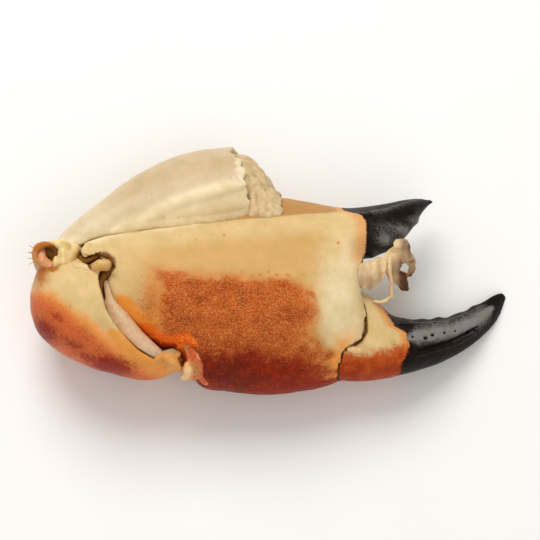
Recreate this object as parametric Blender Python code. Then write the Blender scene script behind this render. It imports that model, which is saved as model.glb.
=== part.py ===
"""A cooked brown crab claw: the limb from its broken upper arm to the two black fingers.

Each shell segment of the limb is one solid, and so is each skin between two segments. All of them are
shaped in the claw's own frame, in millimetres: x runs along the palm towards the fingers, y from its
outer face to its inner face, and z from the margin that carries the moving finger to the margin of the
fixed finger. One empty turns that frame to the way the claw rests: on its inner face, with its outer
face up.
"""

import math

import bmesh
import bpy
from mathutils import Euler, Vector

MM = 0.001

# How the claw rests: turns of its own frame in degrees, and the height of its x axis over the table.
LEAN_BACK = 64.0
YAW = 7.2
AXIS_HEIGHT = 21.65

JOINT_GAP = 0.35  # mm between two neighbouring solids
FINGER_GAP = 0.5  # mm of play around the root of the moving finger
RING_POINTS = 22
BALL_SEGMENTS = 14
LARGE_BALL_SEGMENTS = 32

# Every row of a profile is a place along the piece, in mm, and the value there.
# The palm: its upper and lower outline from the side, its two faces from above, the height at which
# it is widest, and the depth of its top and bottom line.
PALM_SPAN = (-57.6, 36.6)
PALM_TOP = ((-57.6, 29.6), (-54, 31.0), (-48, 31.6), (-30, 31.9), (-10, 31.7), (0, 32.4), (6, 35.2),
            (10.5, 37.4), (18, 35.2), (25, 33.0), (32, 31.0), (36.6, 30.0))
PALM_BOTTOM = ((-57.6, 26.0), (-54, 25.2), (-51.4, 22.8), (-49.4, 18.6), (-47.4, 13.4), (-44.6, 8.0),
               (-41, 3.2), (-37, -2.0), (-32, -7.6), (-27, -12.4), (-23.5, -17.8), (-19, -23.2),
               (-13, -26.8), (-3, -28.9), (7, -29.7), (17, -29.2), (25, -27.4), (36.6, -23.0))
PALM_OUTER = ((-57.6, -7.0), (-53, -10.6), (-46, -13.4), (-36, -16.4), (-22, -18.8), (-5, -19.8),
              (12, -19.2), (24, -17.0), (31, -14.2), (36.6, -9.6))
PALM_INNER = ((-57.6, 7.0), (-50, 12.0), (-40, 15.5), (-20, 18.6), (0, 19.6), (18, 19.0), (30, 17.6),
              (36.6, 16.0))
PALM_WIDEST = ((-57.6, 28.0), (-52, 26.6), (-44, 18.0), (-36, 10.0), (-24, 3.0), (-5, -1.0),
               (15, -1.0), (30, 0.5), (36.6, 2.5))
PALM_TOP_LINE = ((-57.6, 0.0), (-45, 2.4), (-10, 3.0), (0, 5.0), (8, 11.5), (12, 13.0), (36.6, 12.0))
PALM_BOTTOM_LINE = ((-57.6, 0.0), (-40, 0.5), (-20, 1.0), (36.6, 1.5))
# Squareness of the four quarters of a palm section: upper outer, upper inner, lower inner, lower outer.
PALM_POWERS = (1.62, 2.2, 2.3, 2.15)

# The mouth of the palm, where the moving finger comes out: its rim seen from the side, as (x, z).
MOUTH_RIM = ((24.2, -34.0), (24.4, -27.0), (26.1, -19.4), (25.8, -15.0), (29.0, -11.8), (31.8, -13.0),
             (34.1, -9.9), (35.3, -5.0), (34.7, 1.8), (34.0, 7.4), (35.2, 13.0))
MOUTH_REACH = 60.0
MOUTH_DEPTH = 40.0

# The fixed finger, which grows out of the palm.
FIXED_SPAN = (8.0, 64.8)
FIXED_TOP = ((8, 27.0), (24, 29.4), (33, 30.2), (42, 30.0), (49, 30.2), (56, 30.3), (61, 29.8),
             (63.4, 28.8), (64.8, 27.4))
FIXED_BOTTOM = ((8, 2.0), (24, 5.0), (33, 9.6), (36, 12.0), (42, 13.2), (48, 14.4), (54, 18.0),
                (58, 21.8), (61, 24.6), (64.8, 27.0))
FIXED_OUTER = ((8, 3.0), (24, -2.0), (33, -6.4), (38, -6.2), (43, -3.0), (50, 3.0), (57, 10.0),
               (62, 16.6), (64.8, 22.0))
FIXED_INNER = ((8, 17.0), (24, 17.5), (34, 17.5), (44, 18.4), (54, 21.0), (61, 23.6), (64.8, 23.2))
FIXED_WIDEST = ((8, 19.0), (34, 21.0), (48, 22.6), (58, 25.8), (64.8, 27.2))
FIXED_TOP_LINE = ((8, 12.0), (34, 11.0), (46, 13.0), (56, 17.0), (64.8, 22.6))
FIXED_BOTTOM_LINE = ((8, 6.0), (34, 7.0), (46, 11.0), (56, 16.5), (64.8, 22.6))
FIXED_POWERS = (1.9, 2.0, 1.8, 1.8)
TEETH_FIXED = (36.0, 58.0, 5.6, 1.5)  # first and last place, pitch and depth of the blunt teeth
TOOTH_SHARPNESS = 6  # how close to the biting edge the teeth stay

# The moving finger, with its root inside the palm.
MOVING_SPAN = (16.0, 86.0)
MOVING_TOP = ((16, -9.0), (24, -3.0), (31, 1.6), (34.7, 2.6), (38, 0.2), (41, -2.8), (43.6, -6.4),
              (48, -9.2), (53, -10.4), (58, -11.2), (64, -11.6), (71, -10.4), (77, -8.6), (82, -7.0),
              (84.8, -6.8), (86, -8.2))
MOVING_BOTTOM = ((16, -20.0), (21, -24.5), (26, -27.4), (34, -28.3), (46, -27.9), (55, -27.1),
                 (66, -24.6), (72, -22.4), (77.4, -19.4), (81.4, -16.2), (84, -13.4), (86, -9.4))
MOVING_OUTER = ((16, -6.0), (21, -11.0), (26, -13.0), (35, -13.2), (45, -10.0), (56, -4.0), (66, 2.5),
                (75, 9.0), (82, 14.8), (86, 19.4))
MOVING_INNER = ((16, 6.0), (22, 11.0), (30, 13.0), (42, 13.0), (54, 13.4), (64, 14.6), (74, 17.0),
                (81, 19.4), (86, 20.6))
MOVING_WIDEST = ((16, -15.0), (30, -14.0), (43, -17.0), (56, -18.5), (68, -17.0), (78, -13.6), (86, -8.8))
MOVING_TOP_LINE = ((16, 1.0), (35, 1.5), (47, 3.5), (58, 6.5), (68, 10.5), (76, 14.2), (86, 20.0))
MOVING_BOTTOM_LINE = ((16, 0.0), (35, -1.0), (47, 1.0), (58, 4.5), (68, 8.8), (76, 12.8), (86, 20.0))
MOVING_POWERS = (1.9, 1.9, 2.1, 2.0)
TEETH_MOVING = (45.0, 80.0, 6.4, 1.3)

# The wrist piece, shaped along its own slanted axis: place runs down its length, reach away from the palm.
WRIST_SPAN = (-68.8, -9.6)
WRIST_REACH = ((-68.8, 33.4), (-66.4, 40.4), (-64, 45.0), (-59.6, 50.2), (-52.3, 53.2), (-43.5, 53.4),
               (-34, 51.0), (-24, 47.0), (-17.5, 43.8), (-13.4, 40.0), (-11, 35.6), (-9.6, 32.0))
WRIST_NEAR = ((-68.8, 30.4), (-60, 22.0), (-50, 18.0), (-30, 18.0), (-16, 24.0), (-9.6, 30.4))
WRIST_OUTER = ((-68.8, -3.0), (-63, -9.5), (-54, -14.6), (-44, -17.2), (-34, -17.4), (-22, -14.6),
               (-14, -11.0), (-9.6, -8.6))
WRIST_INNER = ((-68.8, 8.0), (-62, 15.5), (-52, 21.0), (-38, 22.6), (-28, 20.4), (-20, 14.8), (-9.6, 0.0))
WRIST_WIDEST = ((-68.8, 32.0), (-55, 33.0), (-40, 33.5), (-20, 33.0), (-9.6, 31.2))
WRIST_POWERS = (2.3, 3.2, 2.0, 2.0)
WRIST_SLANT = 45.0

# The cup of the wrist piece, in which the rounded end of the palm turns, and the skin of the joint.
CUP_CENTRE = (-22.0, 0.0, 17.0)
CUP_RADII = (31.8, 62.0, 31.8)
SKIN_RADII = (31.4, 15.5, 31.4)
SKIN_EDGE = 22.0  # reach at which the skin ends, well inside the palm
SKIN_LENGTH = 80.0

# The upper wrist joint, a ball under the palm's hooked ear, and the lower one, next to the palm's lobe.
UPPER_BALL = (-51.8, -7.6, 24.2)
UPPER_BALL_RADIUS = 3.3
STEM_SHARE = 0.72  # of the ball's radius
UPPER_BALL_STEM = (-57.4, -5.0, 18.4)
LOWER_LOBE = (-24.8, -11.2, -10.4)
LOWER_LOBE_RADII = (4.2, 4.4, 6.0)
LOWER_BALL = (-30.8, -11.2, -11.8)
LOWER_BALL_RADIUS = 2.8

# The upper arm: a tube of shell, broken off across, with its meat.
ARM_SPAN = (-67.0, -0.2)
ARM_TOP = ((-67, 29.2), (-65, 32.8), (-57, 38.0), (-49.5, 42.2), (-42, 46.4), (-34.6, 49.8), (-27, 52.3),
           (-20, 53.9), (-12, 54.6), (12, 53.6))
ARM_BOTTOM = ((-67, 26.0), (-62, 23.0), (-52, 23.0), (-36, 23.0), (12, 24.0))
ARM_OUTER = ((-67, 1.0), (-64, -1.6), (-56, 1.0), (-44, 4.0), (-28, 5.4), (12, 5.6))
ARM_INNER = ((-67, 10.0), (-62, 17.0), (-50, 27.0), (-34, 36.0), (-18, 40.8), (-4, 42.2), (12, 40.6))
ARM_WIDEST = ((-67, 27.6), (-56, 30.0), (-44, 33.0), (-36, 35.0), (-22, 39.4), (-5, 41.4), (12, 41.4))
ARM_TOP_LINE = ((-67, 5.0), (-54, 12.0), (-38, 19.0), (-18, 24.0), (12, 26.0))
ARM_BOTTOM_LINE = ((-67, 5.0), (-54, 12.0), (-30, 21.0), (12, 26.0))
ARM_POWERS = (1.75, 2.0, 2.2, 2.2)
ARM_WALL = 1.7
BREAK_LEAN = 0.1  # how far the break leans back for each mm that it rises
BREAK_WAVES = ((3.0, 1.1, 0.4), (5.0, 0.7, 2.1), (9.0, 0.45, 1.0))  # turns, height and phase
ARM_BALL = (-63.2, -2.4, 26.8)
ARM_BALL_RADII = (2.7, 3.6, 4.0)

# The meat in the upper arm, which stands out of the break, further on its lower side.
MEAT_SPAN = (-52.0, 9.4)
MEAT_LEAN = 0.5
MEAT_LEAN_START = -24.0
SECTION_HEIGHT = 40.0  # the z at which a leaning end has its stated place
MEAT_ROUNDING = 5.0
HOLLOW_END = 12.0  # where the cutter of the tube's hollow ends, past the break

# The elbow: a hooked lug of the wrist piece around its socket, and the skin of the joint behind it.
ELBOW_LUG = (-69.9, -2.4, 28.5)
ELBOW_LUG_RADIUS = 4.5
ELBOW_LUG_WIDTH = 7.0
ELBOW_SOCKET_RADIUS = 2.7
ELBOW_SKIN = (-63.6, 9.0, 22.4)
ELBOW_SKIN_RADII = (6.0, 9.0, 6.4)

# The torn skin between the roots of the two fingers.
TORN_SKIN = (38.2, 4.0, 7.6)
TORN_SKIN_RADII = (4.8, 7.4, 5.4)
TORN_RIBBON = ((41.0, 1.5, 6.0), (46.4, 0.8, 5.2), (50.6, 0.3, 7.0), (53.0, 0.0, 11.0), (51.4, 0.0, 16.4))
TORN_RIBBON_RADIUS = 1.9

SLAB_DEPTH = 30.0
SLAB_REACH = 200.0


def profile(rows, place):
    """The smooth curve through (place, value) rows, read at one place, with no overshoot."""
    places = [row[0] for row in rows]
    values = [row[1] for row in rows]
    if place <= places[0]:
        return float(values[0])
    if place >= places[-1]:
        return float(values[-1])
    right = next(i for i, other in enumerate(places) if other > place)
    left = right - 1
    chords = [(values[i + 1] - values[i]) / (places[i + 1] - places[i]) for i in range(len(rows) - 1)]

    def slope(i):
        if i in (0, len(rows) - 1):
            return chords[min(i, len(chords) - 1)]
        before = chords[i - 1]
        after = chords[i]
        if before * after <= 0:
            return 0.0
        return 2 * before * after / (before + after)

    span = places[right] - places[left]
    t = (place - places[left]) / span
    start = (2 * t**3 - 3 * t**2 + 1) * values[left] + (t**3 - 2 * t**2 + t) * span * slope(left)
    finish = (-2 * t**3 + 3 * t**2) * values[right] + (t**3 - t**2) * span * slope(right)
    return start + finish


def section(top, bottom, outer, inner, widest, top_line, bottom_line, powers, count=RING_POINTS):
    """One closed section as (y, z) points: four rounded quarters that share the widest line."""
    upper_outer, upper_inner, lower_inner, lower_outer = powers
    points = []
    for i in range(count):
        angle = 2 * math.pi * (i + 0.5) / count
        across = math.cos(angle)
        up = math.sin(angle)
        if up > 0:
            power = upper_inner if across > 0 else upper_outer
            line = top_line
            height = top - widest
        else:
            power = lower_inner if across > 0 else lower_outer
            line = bottom_line
            height = bottom - widest
        side = inner if across > 0 else outer
        y = line + (side - line) * abs(across) ** (2 / power)
        z = widest + height * abs(up) ** (2 / power)
        points.append((y, z))
    return points


def eased_places(start, end, count, ends=1.6):
    """Places from start to end, closer together towards both ends, where the piece rounds off."""
    places = []
    for i in range(count):
        t = 2 * i / (count - 1) - 1
        eased = math.copysign(1 - (1 - abs(t)) ** ends, t)
        places.append(start + (end - start) * (eased + 1) / 2)
    return places


def new_object(name, mesh, collection):
    piece = bpy.data.objects.new(name, mesh)
    collection.objects.link(piece)
    return piece


def loft(name, rings, collection):
    """A closed solid through rings of points, with a point at the middle of each end."""
    bm = bmesh.new()
    loops = [[bm.verts.new(Vector(point) * MM) for point in ring] for ring in rings]
    count = len(loops[0])
    for one, other in zip(loops, loops[1:]):
        for i in range(count):
            j = (i + 1) % count
            bm.faces.new((one[i], one[j], other[j], other[i]))
    for loop in (loops[0], loops[-1]):
        middle = bm.verts.new(sum((vert.co for vert in loop), Vector()) / count)
        for i in range(count):
            bm.faces.new((loop[i], loop[(i + 1) % count], middle))
    bmesh.ops.recalc_face_normals(bm, faces=bm.faces)
    mesh = bpy.data.meshes.new(name)
    bm.to_mesh(mesh)
    bm.free()
    return new_object(name, mesh, collection)


def ball(name, centre, radii, collection, segments=BALL_SEGMENTS):
    """A sphere or an ellipsoid."""
    bm = bmesh.new()
    bmesh.ops.create_uvsphere(bm, u_segments=segments, v_segments=segments // 2, radius=1.0)
    if isinstance(radii, (int, float)):
        radii = (radii, radii, radii)
    for vert in bm.verts:
        vert.co = Vector((c + r * co for c, r, co in zip(centre, radii, vert.co))) * MM
    mesh = bpy.data.meshes.new(name)
    bm.to_mesh(mesh)
    bm.free()
    return new_object(name, mesh, collection)


def rod(name, start, end, radius, collection, segments=BALL_SEGMENTS):
    """A round rod from one point to another."""
    start = Vector(start) * MM
    end = Vector(end) * MM
    bm = bmesh.new()
    bmesh.ops.create_cone(bm, cap_ends=True, segments=segments, radius1=radius * MM, radius2=radius * MM,
                          depth=(end - start).length)
    turn = (end - start).to_track_quat("Z", "Y").to_matrix().to_4x4()
    bmesh.ops.transform(bm, matrix=turn, verts=bm.verts)
    bmesh.ops.translate(bm, vec=(start + end) / 2, verts=bm.verts)
    mesh = bpy.data.meshes.new(name)
    bm.to_mesh(mesh)
    bm.free()
    return new_object(name, mesh, collection)


def prism(name, outline, depth, collection):
    """A block with a side outline (x, z), as deep as depth on both sides of the claw."""
    bm = bmesh.new()
    face = bm.faces.new([bm.verts.new(Vector((x, -depth, z)) * MM) for x, z in outline])
    grown = bmesh.ops.extrude_face_region(bm, geom=[face])
    moved = [item for item in grown["geom"] if isinstance(item, bmesh.types.BMVert)]
    bmesh.ops.translate(bm, vec=Vector((0, 2 * depth, 0)) * MM, verts=moved)
    bmesh.ops.recalc_face_normals(bm, faces=bm.faces)
    mesh = bpy.data.meshes.new(name)
    bm.to_mesh(mesh)
    bm.free()
    return new_object(name, mesh, collection)


def boolean(piece, other, operation):
    step = piece.modifiers.new(f"{operation.lower()} {other.name}", "BOOLEAN")
    step.operation = operation
    step.solver = "EXACT"
    step.object = other


def join(piece, *others):
    for other in others:
        boolean(piece, other, "UNION")


def cut(piece, *others):
    for other in others:
        boolean(piece, other, "DIFFERENCE")


def room_of(piece, gap, collection):
    """The piece's plain shape, before its cuts, a gap larger all round, to cut its neighbours with."""
    bm = bmesh.new()
    bm.from_mesh(piece.data)
    bm.normal_update()
    for vert, normal in [(vert, vert.normal.copy()) for vert in bm.verts]:
        vert.co += normal * gap * MM
    mesh = bpy.data.meshes.new(f"{piece.name}_room")
    bm.to_mesh(mesh)
    bm.free()
    return new_object(mesh.name, mesh, collection)


def along_x(rows, place):
    """A section of a piece that runs along x, from its profile rows."""
    top, bottom, outer, inner, widest, top_line, bottom_line, powers = rows
    values = [profile(row, place) for row in (top, bottom, outer, inner, widest, top_line, bottom_line)]
    return [(place, y, z) for y, z in section(*values, powers)]


def tooth_relief(teeth, place):
    """How far a blunt tooth stands out of the biting edge at a place."""
    first, last, pitch, depth = teeth
    if not first < place < last:
        return 0.0
    fade = math.sin(math.pi * (place - first) / (last - first)) ** 0.5
    return depth * fade * math.sin(math.pi * (place - first) / pitch) ** 2


def finger_ring(rows, place, teeth, side):
    """A section of a finger, with its teeth raised on the upper (1) or lower (-1) edge."""
    ring = along_x(rows, place)
    edge = max(z * side for _, _, z in ring)
    back = min(z * side for _, _, z in ring)
    raised = []
    for x, y, z in ring:
        nearness = (z * side - back) / (edge - back)
        raised.append((x, y, z + side * tooth_relief(teeth, place) * nearness**TOOTH_SHARPNESS))
    return raised


def make_palm(parts, cutters):
    rows = (PALM_TOP, PALM_BOTTOM, PALM_OUTER, PALM_INNER, PALM_WIDEST, PALM_TOP_LINE, PALM_BOTTOM_LINE,
            PALM_POWERS)
    palm = loft("palm", [along_x(rows, place) for place in eased_places(*PALM_SPAN, 28)], parts)
    outline = list(MOUTH_RIM) + [(MOUTH_REACH, MOUTH_RIM[-1][1]), (MOUTH_REACH, MOUTH_RIM[0][1])]
    cut(palm, prism("mouth", outline, MOUTH_DEPTH, cutters))
    rows = (FIXED_TOP, FIXED_BOTTOM, FIXED_OUTER, FIXED_INNER, FIXED_WIDEST, FIXED_TOP_LINE,
            FIXED_BOTTOM_LINE, FIXED_POWERS)
    places = eased_places(*FIXED_SPAN, 26, ends=1.3)
    finger = loft("fixed_finger", [finger_ring(rows, place, TEETH_FIXED, -1) for place in places], cutters)
    lobe = ball("lower_lobe", LOWER_LOBE, LOWER_LOBE_RADII, cutters)
    join(palm, finger, lobe)
    return palm


def make_moving_finger(parts):
    rows = (MOVING_TOP, MOVING_BOTTOM, MOVING_OUTER, MOVING_INNER, MOVING_WIDEST, MOVING_TOP_LINE,
            MOVING_BOTTOM_LINE, MOVING_POWERS)
    places = eased_places(*MOVING_SPAN, 32, ends=1.3)
    return loft("moving_finger", [finger_ring(rows, place, TEETH_MOVING, 1) for place in places], parts)


def slanted(place, reach, y):
    """A point of the wrist piece from its own slanted axis to the claw's frame."""
    turn = math.radians(WRIST_SLANT)
    return (place * math.cos(turn) - reach * math.sin(turn), y,
            -place * math.sin(turn) - reach * math.cos(turn))


def make_wrist(parts, cutters):
    rings = []
    for place in eased_places(*WRIST_SPAN, 20):
        values = [profile(row, place) for row in (WRIST_REACH, WRIST_NEAR, WRIST_OUTER, WRIST_INNER,
                                                  WRIST_WIDEST)]
        middle = (values[2] + values[3]) / 2
        ring = section(*values, middle, middle, WRIST_POWERS)
        rings.append([slanted(place, reach, y) for y, reach in ring])
    wrist = loft("wrist_piece", rings, parts)
    cut(wrist, ball("cup", CUP_CENTRE, CUP_RADII, cutters, segments=LARGE_BALL_SEGMENTS))
    join(wrist, elbow_lug("elbow_lug", 0.0, cutters))
    middle = Vector(ELBOW_LUG)
    half = Vector((0, ELBOW_LUG_WIDTH / 2, 0))
    cut(wrist, rod("elbow_socket", middle - 2 * half, middle + half / 2, ELBOW_SOCKET_RADIUS, cutters))
    return wrist


def elbow_lug(name, gap, cutters):
    """The lug of the wrist piece at the elbow, a gap larger all round."""
    reach = Vector((0, ELBOW_LUG_WIDTH / 2 + gap, 0))
    return rod(name, Vector(ELBOW_LUG) - reach, Vector(ELBOW_LUG) + reach, ELBOW_LUG_RADIUS + gap, cutters)


def fit_wrist_joints(palm, wrist, cutters):
    """Clears the wrist piece from the palm, and adds its two balls, each in a socket of the palm."""
    cut(wrist, room_of(palm, JOINT_GAP, cutters))
    cut(wrist, ball("lobe_room", LOWER_LOBE, [r + JOINT_GAP for r in LOWER_LOBE_RADII], cutters))
    for gap, act, piece in ((JOINT_GAP, cut, palm), (0.0, join, wrist)):
        stem_radius = UPPER_BALL_RADIUS * STEM_SHARE + gap
        stem = rod("upper_ball_stem", UPPER_BALL_STEM, UPPER_BALL, stem_radius, cutters)
        upper = ball("upper_ball", UPPER_BALL, UPPER_BALL_RADIUS + gap, cutters)
        lower = ball("lower_ball", LOWER_BALL, LOWER_BALL_RADIUS + gap, cutters)
        act(piece, stem, upper, lower)


def arm_rows():
    return (ARM_TOP, ARM_BOTTOM, ARM_OUTER, ARM_INNER, ARM_WIDEST, ARM_TOP_LINE, ARM_BOTTOM_LINE,
            ARM_POWERS)


def shrunk(ring, wall):
    """The ring moved inwards by a wall's thickness."""
    count = len(ring)
    middle = sum((Vector(point) for point in ring), Vector()) / count
    inside = []
    for point in ring:
        inward = middle - Vector(point)
        inside.append(Vector(point) + inward.normalized() * min(wall, inward.length * 0.6))
    return inside


def break_height(angle):
    """How far the broken edge of the shell runs past its middle, around the tube."""
    return sum(height * math.sin(turns * angle + phase) for turns, height, phase in BREAK_WAVES)


def make_arm(parts, cutters):
    """The shell of the upper arm: a closed tube that is hollow from its ragged break inwards."""
    rings = [along_x(arm_rows(), place) for place in eased_places(*ARM_SPAN, 16, ends=1.5)]
    edge = rings[-1]
    rings[-1] = [(x + break_height(2 * math.pi * i / len(edge)) - BREAK_LEAN * (z - SECTION_HEIGHT), y, z)
                 for i, (x, y, z) in enumerate(edge)]
    arm = loft("arm_shell", rings, parts)
    places = eased_places(MEAT_SPAN[0], HOLLOW_END, 12)
    cut(arm, loft("arm_hollow", [shrunk(along_x(arm_rows(), place), ARM_WALL) for place in places], cutters))
    return arm


def make_meat(parts):
    start, end = MEAT_SPAN
    rings = []
    for place in eased_places(start + 1.0, end, 16):
        past_break = max(0.0, (place - ARM_SPAN[1]) / (end - ARM_SPAN[1]))
        wall = ARM_WALL + JOINT_GAP + MEAT_ROUNDING * past_break**3
        lean = MEAT_LEAN * max(0.0, (place - MEAT_LEAN_START) / (end - MEAT_LEAN_START)) ** 2
        ring = shrunk(along_x(arm_rows(), place), wall)
        rings.append([(x - lean * (z - SECTION_HEIGHT), y, z) for x, y, z in ring])
    return loft("arm_meat", rings, parts)


def make_membranes(parts, cutters):
    wrist_skin = ball("wrist_membrane", CUP_CENTRE, SKIN_RADII, parts, segments=LARGE_BALL_SEGMENTS)
    inside = [slanted(place, reach, 0.0) for place, reach in (
        (-SKIN_LENGTH, SKIN_EDGE), (SKIN_LENGTH, SKIN_EDGE), (SKIN_LENGTH, -SKIN_LENGTH),
        (-SKIN_LENGTH, -SKIN_LENGTH))]
    cut(wrist_skin, prism("skin_edge", [(x, z) for x, _, z in inside], MOUTH_DEPTH, cutters))
    elbow_skin = ball("elbow_membrane", ELBOW_SKIN, ELBOW_SKIN_RADII, parts)
    torn_skin = ball("torn_membrane", TORN_SKIN, TORN_SKIN_RADII, parts)
    for number, (start, end) in enumerate(zip(TORN_RIBBON, TORN_RIBBON[1:])):
        join(torn_skin, rod(f"ribbon_{number}", start, end, TORN_RIBBON_RADIUS, cutters, segments=8),
             ball(f"ribbon_bend_{number}", end, TORN_RIBBON_RADIUS, cutters, segments=8))
    return wrist_skin, elbow_skin, torn_skin


def shell_material(name, colour, roughness):
    material = bpy.data.materials.new(name)
    material.use_nodes = True
    shader = material.node_tree.nodes["Principled BSDF"]
    shader.inputs["Base Color"].default_value = (*colour, 1.0)
    shader.inputs["Roughness"].default_value = roughness
    shader.inputs["Metallic"].default_value = 0.0
    return material


def bounds(pieces):
    """The lowest and highest corner of the pieces as they stand in the world."""
    bpy.context.view_layer.update()
    graph = bpy.context.evaluated_depsgraph_get()
    corners = []
    for piece in pieces:
        shape = piece.evaluated_get(graph)
        corners += [shape.matrix_world @ vert.co for vert in shape.data.vertices]
    return [min(c[i] for c in corners) for i in range(3)], [max(c[i] for c in corners) for i in range(3)]


def main():
    for old in list(bpy.data.objects):
        bpy.data.objects.remove(old)
    parts = bpy.data.collections.new("crab_claw")
    cutters = bpy.data.collections.new("cutters")
    bpy.context.scene.collection.children.link(parts)
    bpy.context.scene.collection.children.link(cutters)

    moving_finger = make_moving_finger(parts)
    palm = make_palm(parts, cutters)
    wrist = make_wrist(parts, cutters)
    arm = make_arm(parts, cutters)
    meat = make_meat(parts)
    wrist_skin, elbow_skin, torn_skin = make_membranes(parts, cutters)

    cut(palm, room_of(moving_finger, FINGER_GAP, cutters))
    torn_room = room_of(torn_skin, JOINT_GAP, cutters)
    cut(palm, torn_room)
    cut(moving_finger, torn_room)
    cut(wrist, room_of(wrist_skin, JOINT_GAP, cutters))
    fit_wrist_joints(palm, wrist, cutters)
    palm_room = room_of(palm, JOINT_GAP, cutters)
    cut(wrist_skin, palm_room)
    cut(arm, palm_room, room_of(wrist, JOINT_GAP, cutters), elbow_lug("lug_room", JOINT_GAP, cutters))
    join(arm, ball("arm_ball", ARM_BALL, ARM_BALL_RADII, cutters))
    cut(wrist, ball("arm_ball_room", ARM_BALL, [r + JOINT_GAP for r in ARM_BALL_RADII], cutters))
    cut(meat, palm_room)
    elbow_room = room_of(elbow_skin, JOINT_GAP, cutters)
    cut(wrist, elbow_room)
    cut(arm, elbow_room)

    pieces = [palm, moving_finger, wrist, arm, meat, wrist_skin, elbow_skin, torn_skin]
    looks = {
        "palm": ((0.50, 0.22, 0.09), 0.40),
        "moving_finger": ((0.03, 0.025, 0.025), 0.30),
        "wrist_piece": ((0.55, 0.20, 0.08), 0.35),
        "arm_shell": ((0.76, 0.58, 0.33), 0.35),
        "arm_meat": ((0.86, 0.76, 0.60), 0.60),
        "wrist_membrane": ((0.70, 0.50, 0.36), 0.40),
        "elbow_membrane": ((0.70, 0.46, 0.32), 0.45),
        "torn_membrane": ((0.80, 0.64, 0.42), 0.50),
    }
    claw = bpy.data.objects.new("claw", None)
    parts.objects.link(claw)
    claw.rotation_euler = Euler((math.radians(-LEAN_BACK), 0.0, math.radians(YAW)))
    claw.location = (0.0, 0.0, AXIS_HEIGHT * MM)
    for piece in list(parts.objects) + list(cutters.objects):
        if piece is not claw:
            piece.parent = claw
    for cutter in cutters.objects:
        cutter.hide_render = True
        cutter.display_type = "WIRE"

    slab = prism("table", ((-SLAB_REACH, -SLAB_DEPTH), (SLAB_REACH, -SLAB_DEPTH), (SLAB_REACH, 0),
                            (-SLAB_REACH, 0)), SLAB_REACH, cutters)
    slab.hide_render = True
    slab.display_type = "WIRE"
    for piece in pieces:
        colour, roughness = looks[piece.name]
        piece.data.materials.append(shell_material(piece.name, colour, roughness))
        piece.data.shade_smooth()
        low, _ = bounds([piece])
        if low[2] < 0:
            cut(piece, slab)

    low, high = bounds(pieces)
    claw.location.x -= (low[0] + high[0]) / 2
    claw.location.y -= (low[1] + high[1]) / 2


main()
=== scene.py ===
"""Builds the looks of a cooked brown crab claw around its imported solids.

Each shell segment is a finely remeshed copy of its solid. Its facets are evened out, the ridges, grooves,
teeth and pits of the real shell are pushed in and out, and each colour zone is stored on its points. The
torn skins, the meat flakes, the joint knobs and the hairs are pieces of their own.
"""

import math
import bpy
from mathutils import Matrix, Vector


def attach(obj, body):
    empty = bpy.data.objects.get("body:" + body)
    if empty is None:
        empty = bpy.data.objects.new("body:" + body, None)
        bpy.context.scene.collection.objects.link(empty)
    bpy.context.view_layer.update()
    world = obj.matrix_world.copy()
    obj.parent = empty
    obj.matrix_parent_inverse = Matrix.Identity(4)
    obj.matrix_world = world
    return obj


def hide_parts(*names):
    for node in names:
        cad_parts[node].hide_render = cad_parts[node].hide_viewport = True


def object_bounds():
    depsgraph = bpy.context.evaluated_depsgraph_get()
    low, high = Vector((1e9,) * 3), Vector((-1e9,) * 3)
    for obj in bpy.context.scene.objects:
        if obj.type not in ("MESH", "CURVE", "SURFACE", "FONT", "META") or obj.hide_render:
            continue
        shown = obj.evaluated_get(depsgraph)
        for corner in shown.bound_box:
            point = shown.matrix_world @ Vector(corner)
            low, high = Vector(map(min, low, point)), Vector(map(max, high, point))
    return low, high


bl_info = {
    "name": "Cooked crab claw",
    "version": (1, 0, 0),
    "blender": (4, 5, 0),
    "location": "View3D > Sidebar > Crab claw",
    "description": "Shapes and colours a cooked brown crab claw around its packed solids",
    "category": "Object",
}

import bpy
import numpy as np
from bpy.props import FloatProperty, FloatVectorProperty, PointerProperty
from mathutils import Euler, Matrix, Vector
from mathutils.bvhtree import BVHTree

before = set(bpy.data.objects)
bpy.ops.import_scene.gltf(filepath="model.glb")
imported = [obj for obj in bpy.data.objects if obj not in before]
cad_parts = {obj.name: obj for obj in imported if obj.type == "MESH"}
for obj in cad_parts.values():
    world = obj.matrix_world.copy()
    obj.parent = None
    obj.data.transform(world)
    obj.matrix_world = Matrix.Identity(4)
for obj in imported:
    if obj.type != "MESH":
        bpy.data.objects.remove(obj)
CAD_BOX = [list(corner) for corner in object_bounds()]

MM = 0.001
BODY = "root"
SOLID_TREES = {}

# The claw's own frame, as the solids have it: x along the palm, y from the shown face inwards, z across
# the palm towards the fixed finger. The claw lies on its inner face, turned by these angles.
CLAW_ORIGIN = Vector((-3.45, -16.95, 21.65)) * MM
CLAW_TURN = Euler((math.radians(-64.0), 0.0, math.radians(7.2)))
CLAW_SPACE = Matrix.LocRotScale(CLAW_ORIGIN, CLAW_TURN, None)

# The shown face is seen square from this height over the table. A place on it is (along, up) in mm, and a
# place near it is (along, up, out) in mm.
FACE_TILT = math.radians(72.0)
FACE_OUT = Vector((0.0, -math.cos(FACE_TILT), math.sin(FACE_TILT)))
FACE_AXES = np.array([(1.0, 0.0, 0.0), Vector((0.0, math.sin(FACE_TILT), math.cos(FACE_TILT))), FACE_OUT])


def linear(code):
    """An sRGB colour such as #A0B0C0 as linear red, green and blue."""
    channels = [int(code[i:i + 2], 16) / 255 for i in (1, 3, 5)]
    return tuple(c / 12.92 if c <= 0.04045 else ((c + 0.055) / 1.055) ** 2.4 for c in channels)


def colour(name, description, code):
    return FloatVectorProperty(name=name, description=description, subtype="COLOR", size=3, min=0.0,
                               max=1.0, default=linear(code))


def length(name, description, millimetres):
    return FloatProperty(name=name, description=description, subtype="DISTANCE", unit="LENGTH",
                         default=millimetres * MM, min=0.05 * MM, max=50 * MM)


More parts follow.
